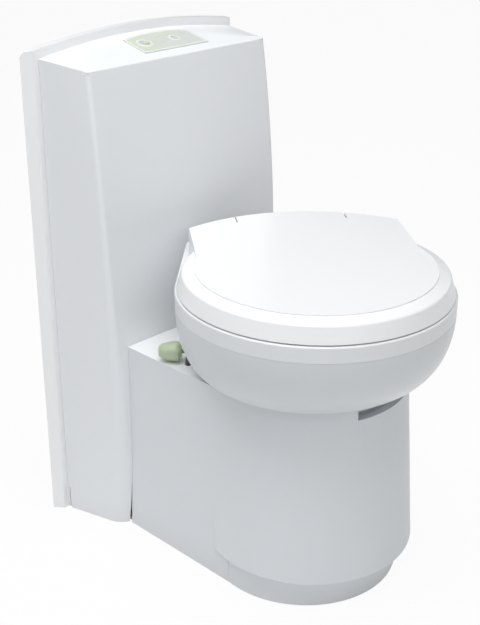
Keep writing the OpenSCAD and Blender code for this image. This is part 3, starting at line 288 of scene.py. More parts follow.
def tidy_mesh(obj):
    """Merge doubles and join the flat faces."""
    edit(obj)
    bpy.ops.mesh.select_mode(type="VERT")
    bpy.ops.mesh.select_all(action="SELECT")
    bpy.ops.mesh.remove_doubles(threshold=0.00001)
    bpy.ops.mesh.dissolve_limited(angle_limit=math.radians(0.2))
    done()


def face_outwards(obj):
    edit(obj)
    bpy.ops.mesh.select_all(action="SELECT")
    bpy.ops.mesh.normals_make_consistent(inside=False)
    done()


def thicken(obj, wall, even=True):
    """Give an open shell its wall, inwards."""
    take(obj)
    step = obj.modifiers.new("wall", "SOLIDIFY")
    step.thickness = wall
    step.offset = -1
    step.use_even_offset = even
    bpy.ops.object.modifier_apply(modifier=step.name)


def round_edges(obj, width, angle, segments):
    """Round all edges that fold more than the angle."""
    take(obj)
    step = obj.modifiers.new("edges", "BEVEL")
    step.width = width
    step.segments = segments
    step.limit_method = "ANGLE"
    step.angle_limit = math.radians(angle)
    step.miter_outer = "MITER_ARC"
    step.use_clamp_overlap = True
    bpy.ops.object.modifier_apply(modifier=step.name)


def smooth(obj, angle, weighted=True, keep=False):
    """Shade smooth up to the angle; keep also holds the edges that are marked sharp already."""
    take(obj)
    bpy.ops.object.shade_smooth_by_angle(angle=math.radians(angle), keep_sharp_edges=keep)
    if weighted:
        step = obj.modifiers.new("normals", "WEIGHTED_NORMAL")
        step.keep_sharp = True
        step.weight = 60
        bpy.ops.object.modifier_apply(modifier=step.name)


def turn_to_bowl(obj):
    """Turn a piece made square to the bowl to the bowl's resting place."""
    obj.rotation_euler = (0, 0, -SWIVEL_REST)
    settle(obj)


def finish_piece(obj, node, *materials):
    """Hand a piece over: it stands for its CAD node, rides on that node's body and takes its finish."""
    obj.data.materials.clear()
    for m in materials:
        obj.data.materials.append(m)
    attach(obj, body_of_node[node])
    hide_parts(node)


# ------------------------------------------------------------------ shader nodes
def colour(r, g, b):
    """A colour as a picture shows it, 0 to 255, as Blender keeps it."""
    def line(c):
        c /= 255
        return c / 12.92 if c <= 0.04045 else ((c + 0.055) / 1.055) ** 2.4
    return (line(r), line(g), line(b), 1)


def plug(tree, socket, value):
    """Link what another node gives, or set a plain value."""
    if isinstance(value, bpy.types.NodeSocket):
        tree.links.new(value, socket)
    else:
        socket.default_value = value


def noise(tree, vector, scale, detail, rough):
    n = tree.nodes.new("ShaderNodeTexNoise")
    for label, value in (("Vector", vector), ("Scale", scale), ("Detail", detail), ("Roughness", rough)):
        plug(tree, n.inputs[label], value)
    return n.outputs["Fac"]


def ramp(tree, value, low, high, to_low, to_high):
    n = tree.nodes.new("ShaderNodeMapRange")
    for label, x in (("Value", value), ("From Min", low), ("From Max", high),
                     ("To Min", to_low), ("To Max", to_high)):
        plug(tree, n.inputs[label], x)
    return n.outputs["Result"]


def maths(tree, how, a, b):
    n = tree.nodes.new("ShaderNodeMath")
    n.operation = how
    plug(tree, n.inputs[0], a)
    plug(tree, n.inputs[1], b)
    return n.outputs["Value"]


def mixed(tree, amount, a, b):
    """Colour a, run over into colour b by the amount."""
    n = tree.nodes.new("ShaderNodeMix")
    n.data_type = "RGBA"
    n.blend_type = "MIX"
    for i, x in ((0, amount), (6, a), (7, b)):
        plug(tree, n.inputs[i], x)
    return n.outputs[2]


def stretched(tree, vector, scale):
    n = tree.nodes.new("ShaderNodeMapping")
    n.inputs["Scale"].default_value = scale
    tree.links.new(vector, n.inputs["Vector"])
    return n.outputs["Vector"]


def split(tree, vector):
    """Outputs X, Y and Z of a vector."""
    n = tree.nodes.new("ShaderNodeSeparateXYZ")
    tree.links.new(vector, n.inputs["Vector"])
    return n.outputs


def raised(tree, shader, height, distance):
    """Relief of that height on the shader's surface."""
    n = tree.nodes.new("ShaderNodeBump")
    n.inputs["Strength"].default_value = 1.0
    n.inputs["Distance"].default_value = distance
    tree.links.new(height, n.inputs["Height"])
    tree.links.new(n.outputs["Normal"], shader.inputs["Normal"])


def mixed_shaders(tree, amount, a, b):
    n = tree.nodes.new("ShaderNodeMixShader")
    tree.links.new(amount, n.inputs["Fac"])
    tree.links.new(a, n.inputs[1])
    tree.links.new(b, n.inputs[2])
    return n.outputs["Shader"]


def new_group(name, inputs, outputs):
    """A shader node group with named sockets: (name, type, default)."""
    tree = bpy.data.node_groups.new(name, "ShaderNodeTree")
    for label, kind, value in inputs:
        s = tree.interface.new_socket(label, in_out="INPUT", socket_type=kind)
        if value is not None:
            s.default_value = value
    for label, kind in outputs:
        tree.interface.new_socket(label, in_out="OUTPUT", socket_type=kind)
    return tree, tree.nodes.new("NodeGroupInput").outputs, tree.nodes.new("NodeGroupOutput").inputs


def make_tone():
    """Slow drift of tone over a moulding, with faint cloudy spots."""
    tree, given, result = new_group("tone_drift", [
        ("Vector", "NodeSocketVector", None), ("Base", "NodeSocketColor", (0.8, 0.8, 0.8, 1)),
        ("Drift", "NodeSocketColor", (0.7, 0.7, 0.7, 1)), ("Amount", "NodeSocketFloat", 0.5),
        ("Scale", "NodeSocketFloat", 3.0)], [("Color", "NodeSocketColor")])
    wide = noise(tree, given["Vector"], given["Scale"], 2, 0.5)
    close = noise(tree, given["Vector"], maths(tree, "MULTIPLY", given["Scale"], 14.0), 3, 0.6)
    both = maths(tree, "ADD", maths(tree, "MULTIPLY", wide, 0.75), maths(tree, "MULTIPLY", close, 0.25))
    mask = maths(tree, "MULTIPLY", ramp(tree, both, 0.35, 0.68, 0.0, 1.0), given["Amount"])
    tree.links.new(mixed(tree, mask, given["Base"], given["Drift"]), result["Color"])
    return tree


def make_moulding():
    """Relief of a moulded surface: a fine grain on a slow orange-peel swell."""
    tree, given, result = new_group("moulded_relief", [
        ("Vector", "NodeSocketVector", None), ("Grain Scale", "NodeSocketFloat", 900.0),
        ("Peel Scale", "NodeSocketFloat", 70.0), ("Grain", "NodeSocketFloat", 0.4),
        ("Peel", "NodeSocketFloat", 0.6)], [("Height", "NodeSocketFloat")])
    fine_grain = noise(tree, given["Vector"], given["Grain Scale"], 2, 0.6)
    peel = noise(tree, given["Vector"], given["Peel Scale"], 1, 0.4)
    total = maths(tree, "ADD", maths(tree, "MULTIPLY", fine_grain, given["Grain"]),
                  maths(tree, "MULTIPLY", peel, given["Peel"]))
    tree.links.new(total, result["Height"])
    return tree


def make_polish():
    """Roughness with faint wiped smears in it."""
    tree, given, result = new_group("polish_smears", [
        ("Vector", "NodeSocketVector", None), ("Rough", "NodeSocketFloat", 0.35),
        ("Spread", "NodeSocketFloat", 0.06), ("Scale", "NodeSocketFloat", 9.0)],
        [("Roughness", "NodeSocketFloat")])
    smear = noise(tree, stretched(tree, given["Vector"], (1.0, 1.0, 0.35)), given["Scale"], 4, 0.62)
    low = maths(tree, "SUBTRACT", given["Rough"], given["Spread"])
    high = maths(tree, "ADD", given["Rough"], given["Spread"])
    tree.links.new(ramp(tree, smear, 0.3, 0.7, low, high), result["Roughness"])
    return tree


def make_brushing():
    """Fine parallel scratches of drawn or turned metal along the x axis."""
    tree, given, result = new_group("drawn_scratches", [
        ("Vector", "NodeSocketVector", None), ("Scale", "NodeSocketFloat", 600.0)],
        [("Mask", "NodeSocketFloat")])
    along = stretched(tree, given["Vector"], (0.04, 1.0, 1.0))
    tree.links.new(noise(tree, along, given["Scale"], 3, 0.7), result["Mask"])
    return tree


def make_settled():
    """Mask of what settles near the floor, broken up by noise."""
    tree, given, result = new_group("settled_dust", [
        ("Vector", "NodeSocketVector", None), ("Height", "NodeSocketFloat", 0.05)],
        [("Mask", "NodeSocketFloat")])
    cloud = noise(tree, given["Vector"], 40.0, 4, 0.65)
    uneven = maths(tree, "ADD", split(tree, given["Vector"])["Z"], maths(tree, "MULTIPLY", cloud, 0.02))
    low = maths(tree, "SUBTRACT", 1.0, maths(tree, "DIVIDE", uneven, given["Height"]))
    clamp = tree.nodes.new("ShaderNodeClamp")
    tree.links.new(low, clamp.inputs["Value"])
    tree.links.new(clamp.outputs["Result"], result["Mask"])
    return tree


TONE = make_tone()
MOULDING = make_moulding()
POLISH = make_polish()
BRUSHING = make_brushing()
SETTLED = make_settled()


def group_node(tree, source, **values):
    """A node of that group; an underscore in a value's name stands for a space."""
    n = tree.nodes.new("ShaderNodeGroup")
    n.node_tree = source
    for label, value in values.items():
        plug(tree, n.inputs[label.replace("_", " ")], value)
    return n.outputs


# ------------------------------------------------------------------ finishes
def new_material(name):
    m = bpy.data.materials.new(name)
    m.use_nodes = True
    tree = m.node_tree
    tree.nodes.clear()
    out = tree.nodes.new("ShaderNodeOutputMaterial")
    shader = tree.nodes.new("ShaderNodeBsdfPrincipled")
    tree.links.new(shader.outputs["BSDF"], out.inputs["Surface"])
    place = tree.nodes.new("ShaderNodeTexCoord").outputs["Object"]
    return m, tree, shader, place


def moulded(name, base, drift, rough=0.32, spread=0.05, amount=0.35, scale=3.0, grain=0.25, peel=0.6,
            relief=0.00004, coat=0.0, dust=0.0, top=None):
    """A moulded plastic; where top gives a height, its flat top at that height gets a painted highlight, a
    paler tone that stands in for the light falling on it.
    """
    m, tree, shader, place = new_material(name)
    shown = group_node(tree, TONE, Vector=place, Base=colour(*base), Drift=colour(*drift),
                       Amount=amount, Scale=scale)["Color"]
    if dust:
        settled = group_node(tree, SETTLED, Vector=place, Height=0.05)["Mask"]
        shown = mixed(tree, maths(tree, "MULTIPLY", settled, dust), shown, colour(196, 194, 188))
    # painted highlight: the flat top at the given height is made paler, for the light that falls on it
    if top:
        mask = ramp(tree, split(tree, place)["Z"], top - 0.0008, top - 0.0001, 0.0, 1.0)
        shown = mixed(tree, mask, shown, colour(250, 251, 252))
    tree.links.new(shown, shader.inputs["Base Color"])
    polish = group_node(tree, POLISH, Vector=place, Rough=rough, Spread=spread)
    tree.links.new(polish["Roughness"], shader.inputs["Roughness"])
    form = group_node(tree, MOULDING, Vector=place, Grain=grain, Peel=peel, Peel_Scale=60.0,
                      Grain_Scale=1100.0)
    raised(tree, shader, form["Height"], relief)
    if coat:
        shader.inputs["Coat Weight"].default_value = coat
        shader.inputs["Coat Roughness"].default_value = 0.12
    return m


def drawn_steel():
    m, tree, shader, place = new_material("drawn_steel")
    lines = group_node(tree, BRUSHING, Vector=place)["Mask"]
    tree.links.new(mixed(tree, lines, colour(150, 154, 158), colour(205, 208, 211)),
                   shader.inputs["Base Color"])
    tree.links.new(ramp(tree, lines, 0.2, 0.8, 0.24, 0.42), shader.inputs["Roughness"])
    shader.inputs["Metallic"].default_value = 1
    raised(tree, shader, lines, 0.00003)
    return m


def key_film():
    """Printed film of the control panel: grey-green, greener along its left and rear."""
    m, tree, shader, place = new_material("key_film")
    parts = split(tree, place)
    left = ramp(tree, parts["X"], 0.020, -0.050, 0.0, 1.0)
    back = ramp(tree, parts["Y"], 0.300, 0.325, 0.0, 0.5)
    green = maths(tree, "MAXIMUM", maths(tree, "POWER", left, 1.6), back)
    cloud = noise(tree, place, 60.0, 3, 0.5)
    green = maths(tree, "MULTIPLY", green, ramp(tree, cloud, 0.2, 0.8, 0.8, 1.0))
    tree.links.new(mixed(tree, green, colour(215, 219, 215), colour(210, 221, 192)),
                   shader.inputs["Base Color"])
    polish = group_node(tree, POLISH, Vector=place, Rough=0.30, Spread=0.05)
    tree.links.new(polish["Roughness"], shader.inputs["Roughness"])
    form = group_node(tree, MOULDING, Vector=place, Grain=0.6, Peel=0.3)
    raised(tree, shader, form["Height"], 0.00003)
    return m


white_satin = moulded("white_satin", (243, 245, 247), (238, 241, 244), rough=0.42, coat=0.15, dust=0.10)
# painted shade and painted highlight: the pedestal is the console's white plastic, made darker for the
# shade on its sides, with its deck at DECK_Z painted paler
pedestal_white_painted_light = moulded("pedestal_white_painted_light", (232, 235, 238), (227, 230, 234), rough=0.42, coat=0.15, dust=0.10,
                     top=DECK_Z)
bowl_white = moulded("bowl_white", (221, 224, 227), (216, 219, 223), rough=0.36, coat=0.2)
rim_white = moulded("rim_white", (235, 237, 239), (230, 233, 236), rough=0.34, coat=0.2)
white_gloss = moulded("white_gloss", (249, 250, 251), (247, 247, 249), rough=0.30, spread=0.01,
                      amount=0.15, grain=0.0, peel=0.2, coat=0.2)
panel_rim = moulded("panel_rim", (232, 235, 232), (226, 231, 224), rough=0.34)
sage = moulded("sage_plastic", (190, 204, 170), (180, 195, 160), rough=0.30, scale=18.0, amount=0.5,
               coat=0.3)
lens_green = moulded("lens_green", (216, 226, 200), (206, 218, 188), rough=0.12, coat=0.8, grain=0.0)
key_pale = moulded("key_pale", (214, 221, 206), (206, 213, 198), rough=0.30, coat=0.3)
ring_grey = moulded("ring_grey", (176, 181, 186), (164, 169, 174), rough=0.45, scale=8.0)
grey_plastic = moulded("grey_plastic", (128, 136, 141), (116, 124, 130), rough=0.40, scale=8.0)
tray_plastic = moulded("tray_plastic", (214, 219, 222), (204, 209, 213), rough=0.46, dust=0.3)
tank_plastic = moulded("tank_plastic", (206, 211, 214), (195, 201, 206), rough=0.44, scale=6.0,
                       grain=0.8, peel=0.8, relief=0.00008, dust=0.25)
dark_plastic = moulded("dark_plastic", (58, 62, 67), (48, 52, 57), rough=0.42, grain=0.8, scale=10.0,
                       relief=0.00008)
rubber = moulded("rubber", (42, 43, 45), (52, 53, 55), rough=0.68, spread=0.08, grain=0.9, scale=20.0,
                 relief=0.0001)
circuit_board = moulded("circuit_board", (52, 104, 70), (40, 86, 58), rough=0.35, scale=60.0,
                        amount=0.8, grain=0.9, peel=0.5, relief=0.0001)
steel = drawn_steel()
film = key_film()

finish_of_slot = {
    "white_gloss": white_gloss, "white_satin": white_satin, "tank_plastic": tank_plastic,
    "sage_plastic": sage, "panel_plastic": panel_rim, "grey_plastic": grey_plastic,
    "dark_plastic": dark_plastic, "rubber": rubber, "steel": steel, "board": circuit_board,
}
finish_of_node = {
    "bowl_shell": bowl_white, "bowl_rim": rim_white, "pedestal_shell": pedestal_white_painted_light,
    "valve_ring": ring_grey, "flush_button": key_pale, "base_tray": tray_plastic,
    "indicator_lens": lens_green,
}


def finish_for(node):
    """The node's own finish, or else that of its material slot."""
    return finish_of_node.get(node) or finish_of_slot[slot_of_node[node]]


for node_name, node_obj in nodes.items():
    node_obj.data.materials.clear()
    node_obj.data.materials.append(finish_for(node_name))


# ------------------------------------------------------------------ console
def face_at(z):
    """Y of the bowed front at a height."""
    return FACE_Y + FACE_BOW_R - math.sqrt(FACE_BOW_R ** 2 - (z - FACE_Z) ** 2)


def crease_at(z):
    """Half the width between the front creases at a height."""
    return CREASE_HALF - (z - CREASE_Z) ** 2 / (2 * CREASE_BOW_R)


def console_cover():
    """Tall cover: bowed front, creases that soften downwards, arched top, open back and foot."""
    obj = new_piece("console_cover")
    for i in range(CONSOLE_LEVELS + 1):
        z = CONSOLE_H * i / CONSOLE_LEVELS
        y, w = face_at(z), crease_at(z)
        r = CREASE_R + CREASE_FADE * ((CONSOLE_H - z) / CONSOLE_H) ** 3
        lean = math.atan((CONSOLE_HALF - w) / (CONSOLE_BACK - y))
        x = w - r / math.tan((math.pi / 2 + lean) / 2)
        for side in (-1, 1):
            ring(64, r, (side * x, y + r, z))
    # rear outline: a wide arch over straight sides
    ring(480, TOP_ARCH_R, (0, CONSOLE_BACK, TOP_CENTRE - TOP_ARCH_R), (math.pi / 2, 0, 0))
    choose(obj, "VERT", lambda p: abs(p.y - CONSOLE_BACK) < 1e-5
           and (abs(p.x) > CONSOLE_HALF - 0.001 or p.z < 0.7))
    bpy.ops.mesh.delete(type="VERT")
    side_top = TOP_CENTRE - TOP_ARCH_R + math.sqrt(TOP_ARCH_R ** 2 - CONSOLE_HALF ** 2)
    middle = (0, CONSOLE_BACK, side_top / 2)
    bpy.ops.mesh.primitive_plane_add(size=1, location=middle, rotation=(math.pi / 2, 0, 0))
    bpy.ops.transform.resize(value=(2 * CONSOLE_HALF, 1, side_top), center_override=middle)
    bpy.ops.mesh.select_all(action="SELECT")
    bpy.ops.mesh.convex_hull(join_triangles=True, face_threshold=math.radians(0.5))
    choose(obj, "FACE", lambda c, n: n.y > 0.99 or n.z < -0.99)
    bpy.ops.mesh.delete(type="FACE")
    face_outwards(obj)
    keep_sharp(obj, 50, lambda p: p.z > 0.72)
    bevel(CONSOLE_TOP_R, 3)
    done()
    thicken(obj, WALL, even=False)
    combine(obj, block("bay", -BAY_HALF, BAY_HALF, FACE_Y - 0.03, FACE_Y + 0.03, -CUT, BAY_TOP))
    # short slit between the side walls and the back panel, at the foot
    combine(obj, block("foot_slit", -0.2, 0.2, CONSOLE_BACK - FOOT_SLIT_T, CONSOLE_BACK + CUT,
                       -CUT, FOOT_SLIT_H))
    smooth(obj, 32)
    return obj


finish_piece(console_cover(), "console_shell", white_satin)


# ------------------------------------------------------------------ bowl
def bowl_cover():
    """Outer bowl: from the foot's circle it swells to the rim's rounded outline."""
    obj = new_piece("bowl_cover")
    band = BAND_Z - BAND_GAP
    for i in range(BOWL_LEVELS + 1):
        a = BULGE * i / BOWL_LEVELS
        k = (1 - math.cos(a)) / (1 - math.cos(BULGE))
        z = band - (band - FOOT_Z) * math.sin(a) / math.sin(BULGE)
        r = RIM_R + (FOOT_R - RIM_R) * k
        ring(144, r, (0, -(RIM_FWD + (FOOT_FWD - RIM_FWD) * k), z))
        for side in (-1, 1):
            ring(64, CORNER_R, (side * CORNER_X * (1 - k / 2), CORNER_Y * (1 - k / 2), z))
    bpy.ops.mesh.select_all(action="SELECT")
    bpy.ops.mesh.convex_hull(join_triangles=True, face_threshold=math.radians(1))
    choose(obj, "FACE", lambda c, n: abs(n.z) > 0.999)
    bpy.ops.mesh.delete(type="FACE")
    face_outwards(obj)
    thicken(obj, WALL)
    smooth(obj, 40)
    turn_to_bowl(obj)
    return obj


finish_piece(bowl_cover(), "bowl_shell", bowl_white)


# ------------------------------------------------------------------ lid
def lid_form(name, wall):
    """Form of the lid, drawn in by the wall: a field that runs into an arched rear, over a leaning side."""
    low, top = LID_LOW - LID_SPARE - 2 * wall, LID_TOP - wall
    middle, tall = (top + low) / 2, top - low
    obj = rod(name, FIELD_R - wall, tall, (0, -RIM_FWD, middle), count=192)
    half = LID_REAR_HALF - wall
    rear = block("lid_rear", -half, half, -RIM_FWD, BEHIND, low, top)
    combine(rear, rod("arch", LID_ARCH_R - wall, 0.2, (0, LID_REAR_Y - LID_ARCH_R, middle), count=256),
            "INTERSECT")
    combine(obj, rear, "UNION")
    tidy_mesh(obj)
    keep_sharp(obj, 60, lambda p: p.z > top - TOUCH and abs(p.x) > half - TOUCH and p.y > 0)
    bevel(LID_CORNER_R - wall, 5)
    if not wall:
        keep_sharp(obj, 60, lambda p: p.z > top - TOUCH)
        bevel(LID_REAR_R, 3)
    done()
    shoulder = LID_TOP - LID_DROP - wall
    low -= 0.001
    lean = (LID_FOOT_R - LID_EDGE_R) / (LID_TOP - LID_DROP - LID_LOW)
    edge = LID_EDGE_R - wall
    foot = edge + lean * (shoulder - low)
    side = rod("lid_side", foot, shoulder - low, (0, -RIM_FWD, (shoulder + low) / 2), count=192)
    choose(side, "FACE", lambda c, n: n.z > 0.99)
    bpy.ops.transform.resize(value=(edge / foot, edge / foot, 1), center_override=(0, -RIM_FWD, shoulder))
    bpy.ops.mesh.inset(thickness=LID_EDGE_R - FIELD_R + 0.001, use_boundary=True)
    bpy.ops.transform.translate(value=(0, 0, LID_DROP - FIELD_STEP))
    if not wall:
        choose(side, "EDGE", lambda mid, way: abs(mid.z - shoulder) < TOUCH)
        bevel(LID_SHOULDER_R, 4)
    done()
    return combine(obj, side, "UNION")


def lid_cover():
    """Lid: hollow below, with bosses for the hinge pins and slits beside them."""
    obj = lid_form("lid_cover", 0)
    combine(obj, block("below", -0.3, 0.3, -0.3, 0.3, LID_LOW - 0.02, LID_LOW))
    combine(obj, lid_form("hollow", LID_WALL))
    tidy_mesh(obj)
    room_y = HINGE_Y - KNUCKLE_R - KNUCKLE_ROOM
    for side in (-1, 1):
        x = side * (BOSS_X + BOSS_T / 2)
        combine(obj, rod("boss", KNUCKLE_R, BOSS_T, (x, HINGE_Y, HINGE_Z), ALONG_X), "UNION")
        combine(obj, block("boss_root", x - BOSS_T / 2, x + BOSS_T / 2, HINGE_Y - KNUCKLE_R,
                           HINGE_Y + BOSS_ROOT, HINGE_Z, LID_TOP - LID_WALL + 0.001), "UNION")
        combine(obj, rod("bore", PIN_R + 0.0001, 0.02, (x, HINGE_Y, HINGE_Z), ALONG_X, 32))
        combine(obj, block("slit", side * SLIT_X - SLIT_HALF, side * SLIT_X + SLIT_HALF,
                           HINGE_Y - SLIT_RUN, BEHIND, LID_LOW - CUT, LID_TOP + CUT))
        x0, x1 = sorted((side * NOTCH_X, side * SLIT_X))
        combine(obj, block("notch", x0, x1, room_y, BEHIND, LID_LOW - CUT, LID_TOP - LID_WALL - 0.0005))
        x0, x1 = sorted((side * (SLIT_X - 0.001), side * (SLIT_X + HEEL_RUN)))
        combine(obj, block("heel", x0, x1, HINGE_Y + HEEL_Y, BEHIND, LID_LOW - CUT,
                           HINGE_Z - KNUCKLE_R - 0.001))
    combine(obj, block("middle", -MIDDLE_HALF, MIDDLE_HALF, room_y, BEHIND, LID_LOW - CUT,
                       HINGE_Z - KNUCKLE_R + 0.002))
    smooth(obj, 25)
    turn_to_bowl(obj)
    return obj


finish_piece(lid_cover(), "lid", white_gloss)


# ------------------------------------------------------------------ knob
def lever_knob():
    """Bell-shaped knob with eight soft flats, on the end of the valve lever."""
    drop_selection()
    bpy.ops.mesh.primitive_circle_add(vertices=8, radius=KNOB_END_R, fill_type="NGON", location=(0, 0, 0),
                                      rotation=(0, 0, math.pi / 8))
    obj = bpy.context.object
    obj.name = obj.data.name = "lever_grip"
    settle(obj)
    bpy.ops.object.mode_set(mode="EDIT")
    bpy.ops.mesh.select_mode(type="FACE")
    bpy.ops.mesh.select_all(action="SELECT")
    at, wide = 0.0, KNOB_END_R
    for r, z in KNOB_PROFILE:
        bpy.ops.mesh.extrude_region_move(TRANSFORM_OT_translate={"value": (0, 0, z - at)})
        bpy.ops.transform.resize(value=(r / wide, r / wide, 1), center_override=(0, 0, z))
        at, wide = z, r
    face_outwards(obj)
    choose(obj, "EDGE", lambda mid, way: abs(way.z) > 0.5 and 0.004 < mid.z < 0.03)
    bevel(0.0022, 3)
    take(obj)
    step = obj.modifiers.new("soft", "SUBSURF")
    step.levels = step.render_levels = 2
    bpy.ops.object.modifier_apply(modifier=step.name)
    obj.matrix_world = (Matrix.Rotation(-math.pi / 2 - KNOB_ANGLE, 4, "Z")
                        @ Matrix.Translation((KNOB_FROM, 0, STEM_Z)) @ Matrix.Rotation(math.pi / 2, 4, "Y"))
    settle(obj)
    smooth(obj, 60, weighted=False)
    return obj


finish_piece(lever_knob(), "valve_knob", sage)


# ------------------------------------------------------------------ pieces finished over their CAD form
def from_node(node, name):
    """A separate copy of a CAD node's mesh with its doubles merged and its flat faces joined."""
    obj = bpy.data.objects.new(name, nodes[node].data.copy())
    obj.data.name = name
    bpy.context.scene.collection.objects.link(obj)
    obj.data.materials.clear()
    tidy_mesh(obj)
    return obj


def softened(node, name, width, segments=2, spare=None):
    """A CAD node with its edges rounded, apart from those whose middle spare picks out."""
    obj = from_node(node, name)
    if spare:
        keep_sharp(obj, 35, lambda p: not spare(p))
        bevel(width, segments)
        done()
    else:
        round_edges(obj, width, 35, segments)
    smooth(obj, 40)
    finish_piece(obj, node, finish_for(node))


def wall_panel():
    """Back panel with rounded upper corners and a rounded front outline."""
    obj = from_node("back_panel", "wall_panel")
    choose(obj, "EDGE", lambda mid, way: abs(way.y) > 0.9 and abs(mid.x) > PANEL_SIDE and mid.z > 0.70)
    bevel(PANEL_CORNER_R, 6)
    done()
    front = min(v.co.y for v in obj.data.vertices if v.co.z > 0.70 and abs(v.co.x) > 0.195)
    keep_sharp(obj, 60, lambda p: p.y < front + 0.0002 and (p.z > 0.71 or abs(p.x) > PANEL_SIDE))
    bevel(PANEL_FRONT_R, 4)
    # the flat faces beside the rounding are shaded flat
    bpy.ops.mesh.region_to_loop()
    bpy.ops.mesh.mark_sharp()
    done()
    smooth(obj, 40, keep=True)
    finish_piece(obj, "back_panel", white_gloss)


def rim_band():
    """Rim of the bowl, rounded along its outer upper edge."""
    obj = from_node("bowl_rim", "rim_band")

    def outer(p):
        x = p.x * math.cos(SWIVEL_REST) - p.y * math.sin(SWIVEL_REST)
        y = p.x * math.sin(SWIVEL_REST) + p.y * math.cos(SWIVEL_REST)
        if y < 0:
            return math.hypot(x, y + RIM_FWD) > RIM_R - 0.004
        # straight sides, and the rear beside the hinge
        return abs(x) > 0.120 or (abs(x) > 0.092 and y > 0.150)

    keep_sharp(obj, 60, lambda p: p.z > LID_LOW - 0.0025 and outer(p))
    bevel(RIM_EDGE_R, 4)
    done()
    smooth(obj, 40)
    finish_piece(obj, "bowl_rim", rim_white)


def ribbed_ring():
    """Ring of the valve, with grooves turned into its outer face."""
    obj = from_node("valve_ring", "ribbed_ring")
    top = max(v.co.z for v in obj.data.vertices)
    wide = max(v.co.x for v in obj.data.vertices)
    for i in range(GROOVES):
        drop_selection()
        bpy.ops.mesh.primitive_torus_add(major_segments=128, minor_segments=8, major_radius=wide + 0.0002,
                                         minor_radius=GROOVE_R,
                                         location=(0, 0, top - GROOVE_FIRST - GROOVE_PITCH * i))
        combine(obj, bpy.context.object)
    smooth(obj, 40)
    finish_piece(obj, "valve_ring", ring_grey)


def near_vent(p):
    """Whether a point of the tank's upper face is beside the vent button."""
    return math.hypot(p.x - VENT_X, p.y - VENT_Y) < VENT_CLEAR and p.z > TANK_TOP


wall_panel()
softened("pedestal_shell", "pedestal_cover", 0.0014)
rim_band()
softened("seat", "seat_ring", 0.0015)
softened("bearing_ring", "bearing_collar", 0.0010)
softened("turntable", "turning_plate", 0.0008)
softened("bowl_liner", "inner_bowl", 0.0010)
softened("base_tray", "floor_tray", 0.0008)
softened("waste_tank", "tank_body", 0.0025, segments=3, spare=near_vent)
softened("blade_housing", "slide_housing", 0.0010)
softened("flush_tank", "water_tank", 0.0040, segments=3)
softened("tank_handle", "carry_handle", 0.0020, segments=3)
softened("pouring_spout", "pour_spout", 0.0012)
softened("spout_cap", "spout_cover", 0.0015)
softened("tank_wheels", "tank_rollers", 0.0015)
softened("filler_cap", "water_cap", 0.0012)
softened("filler_neck", "water_neck", 0.0006)
ribbed_ring()
softened("valve_lever", "lever_arm", 0.0005)
softened("level_float", "float_arm", 0.0008)
softened("flush_pump", "pump_body", 0.0012)
softened("cable_gland", "cable_bush", 0.0008)
softened("hinge_bracket", "hinge_plate", 0.0006)


# ------------------------------------------------------------------ control panel
def flush_key():
    """Flush button with a dished top."""
    obj = from_node("flush_button", "flush_key")
    choose(obj, "FACE", lambda c, n: n.z > 0.9)
    bpy.ops.mesh.inset(thickness=0.0020, depth=0, use_boundary=True)
    bpy.ops.mesh.inset(thickness=0.0012, depth=-0.0006, use_boundary=True)
    done()
    smooth(obj, 40)
    finish_piece(obj, "flush_button", key_pale)


def key_panel():
    """Panel on the console's top: pale frame with a slightly sunk printed film in it."""
    obj = from_node("control_panel", "key_panel")
    choose(obj, "FACE", lambda c, n: n.z > 0.9)
    bpy.ops.mesh.inset(thickness=0.0038, depth=0, use_boundary=True)
    bpy.ops.mesh.inset(thickness=0.0004, depth=-0.0003, use_boundary=True)
    done()
    inner = [p.index for p in obj.data.polygons if p.select]
    smooth(obj, 30)
    finish_piece(obj, "control_panel", panel_rim, film)
    for i in inner:
        obj.data.polygons[i].material_index = 1


key_panel()
flush_key()


# ------------------------------------------------------------------ stage, lamps and camera
def seen_by(rays, *kinds):
    """1 for rays of any of those kinds, else 0."""
    tree = rays.id_data
    seen = rays.outputs[kinds[0]]
    for kind in kinds[1:]:
        seen = maths(tree, "MAXIMUM", seen, rays.outputs[kind])
    return seen


def studio_floor():
    drop_selection()
    bpy.ops.mesh.primitive_plane_add(size=14, location=(0, 0, -0.0006))
    obj = bpy.context.object
    obj.name = "studio_floor"
    m = bpy.data.materials.new("pale_floor")
    m.use_nodes = True
    tree = m.node_tree
    tree.nodes.clear()
    out = tree.nodes.new("ShaderNodeOutputMaterial")
    matt = tree.nodes.new("ShaderNodeBsdfDiffuse")
    matt.inputs["Color"].default_value = (0.92, 0.92, 0.92, 1)
    glow = tree.nodes.new("ShaderNodeEmission")
    glow.inputs["Color"].default_value = (1, 1, 1, 1)
    seen = seen_by(tree.nodes.new("ShaderNodeLightPath"),
                   "Is Camera Ray", "Is Glossy Ray", "Is Transmission Ray")
    surface = mixed_shaders(tree, maths(tree, "MULTIPLY", seen, 0.94), matt.outputs["BSDF"],
                            glow.outputs["Emission"])
    tree.links.new(surface, out.inputs["Surface"])
    obj.data.materials.append(m)


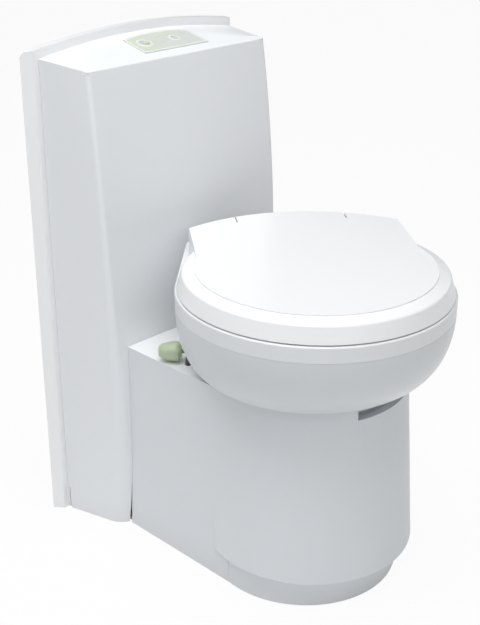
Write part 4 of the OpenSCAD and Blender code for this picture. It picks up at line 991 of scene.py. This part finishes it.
def sky():
    """White behind the part, and a fill for it that is weaker on the right."""
    world = bpy.data.worlds.new("studio_sky")
    bpy.context.scene.world = world
    world.use_nodes = True
    tree = world.node_tree
    tree.nodes.clear()
    out = tree.nodes.new("ShaderNodeOutputWorld")
    fill = tree.nodes.new("ShaderNodeBackground")
    fill.inputs["Color"].default_value = (0.97, 0.985, 1.0, 1)
    where = split(tree, tree.nodes.new("ShaderNodeTexCoord").outputs["Generated"])
    tree.links.new(ramp(tree, where["X"], -1, 1, 0.44, 0.15), fill.inputs["Strength"])
    plain = tree.nodes.new("ShaderNodeBackground")
    plain.inputs["Color"].default_value = (1, 1, 1, 1)
    plain.inputs["Strength"].default_value = 1.0
    seen = seen_by(tree.nodes.new("ShaderNodeLightPath"), "Is Camera Ray", "Is Transmission Ray")
    surface = mixed_shaders(tree, seen, fill.outputs["Background"], plain.outputs["Background"])
    tree.links.new(surface, out.inputs["Surface"])


def softbox(name, place, aim, size, power):
    """A square lamp that looks at the aim."""
    data = bpy.data.lights.new(name, "AREA")
    data.shape = "RECTANGLE"
    data.size = data.size_y = size
    data.energy = power
    obj = bpy.data.objects.new(name, data)
    bpy.context.scene.collection.objects.link(obj)
    obj.location = place
    obj.rotation_euler = (Vector(aim) - Vector(place)).to_track_quat("-Z", "Y").to_euler()


def photo_camera(place, yaw, pitch, roll, focal_px, frame_px=625):
    """The photo's view: angles in degrees, and the lens in pixels of the picture's longer side."""
    data = bpy.data.cameras.new("photo_camera")
    obj = bpy.data.objects.new("photo_camera", data)
    bpy.context.scene.collection.objects.link(obj)
    bpy.context.scene.camera = obj
    yaw, pitch, roll = math.radians(yaw), math.radians(pitch), math.radians(roll)
    ahead = Vector((math.sin(yaw) * math.cos(pitch), math.cos(yaw) * math.cos(pitch), -math.sin(pitch)))
    obj.location = place
    obj.rotation_euler = (ahead.to_track_quat("-Z", "Y") @ Quaternion((0, 0, 1), roll)).to_euler()
    data.sensor_fit = "AUTO"
    data.sensor_width = 36
    data.lens = focal_px * 36 / frame_px
    data.clip_start, data.clip_end = 0.05, 50


studio_floor()
sky()
softbox("overhead", (-0.5, -0.1, 2.6), (0, 0.05, 0.4), 2.0, 45)
softbox("front", (-1.0, -2.3, 1.6), (0, 0, 0.4), 1.2, 8)
photo_camera((-1.1316, -0.9721, 1.0682), yaw=45.695, pitch=24.133, roll=0.127, focal_px=1139.35)
bpy.context.scene.view_settings.view_transform = "Standard"
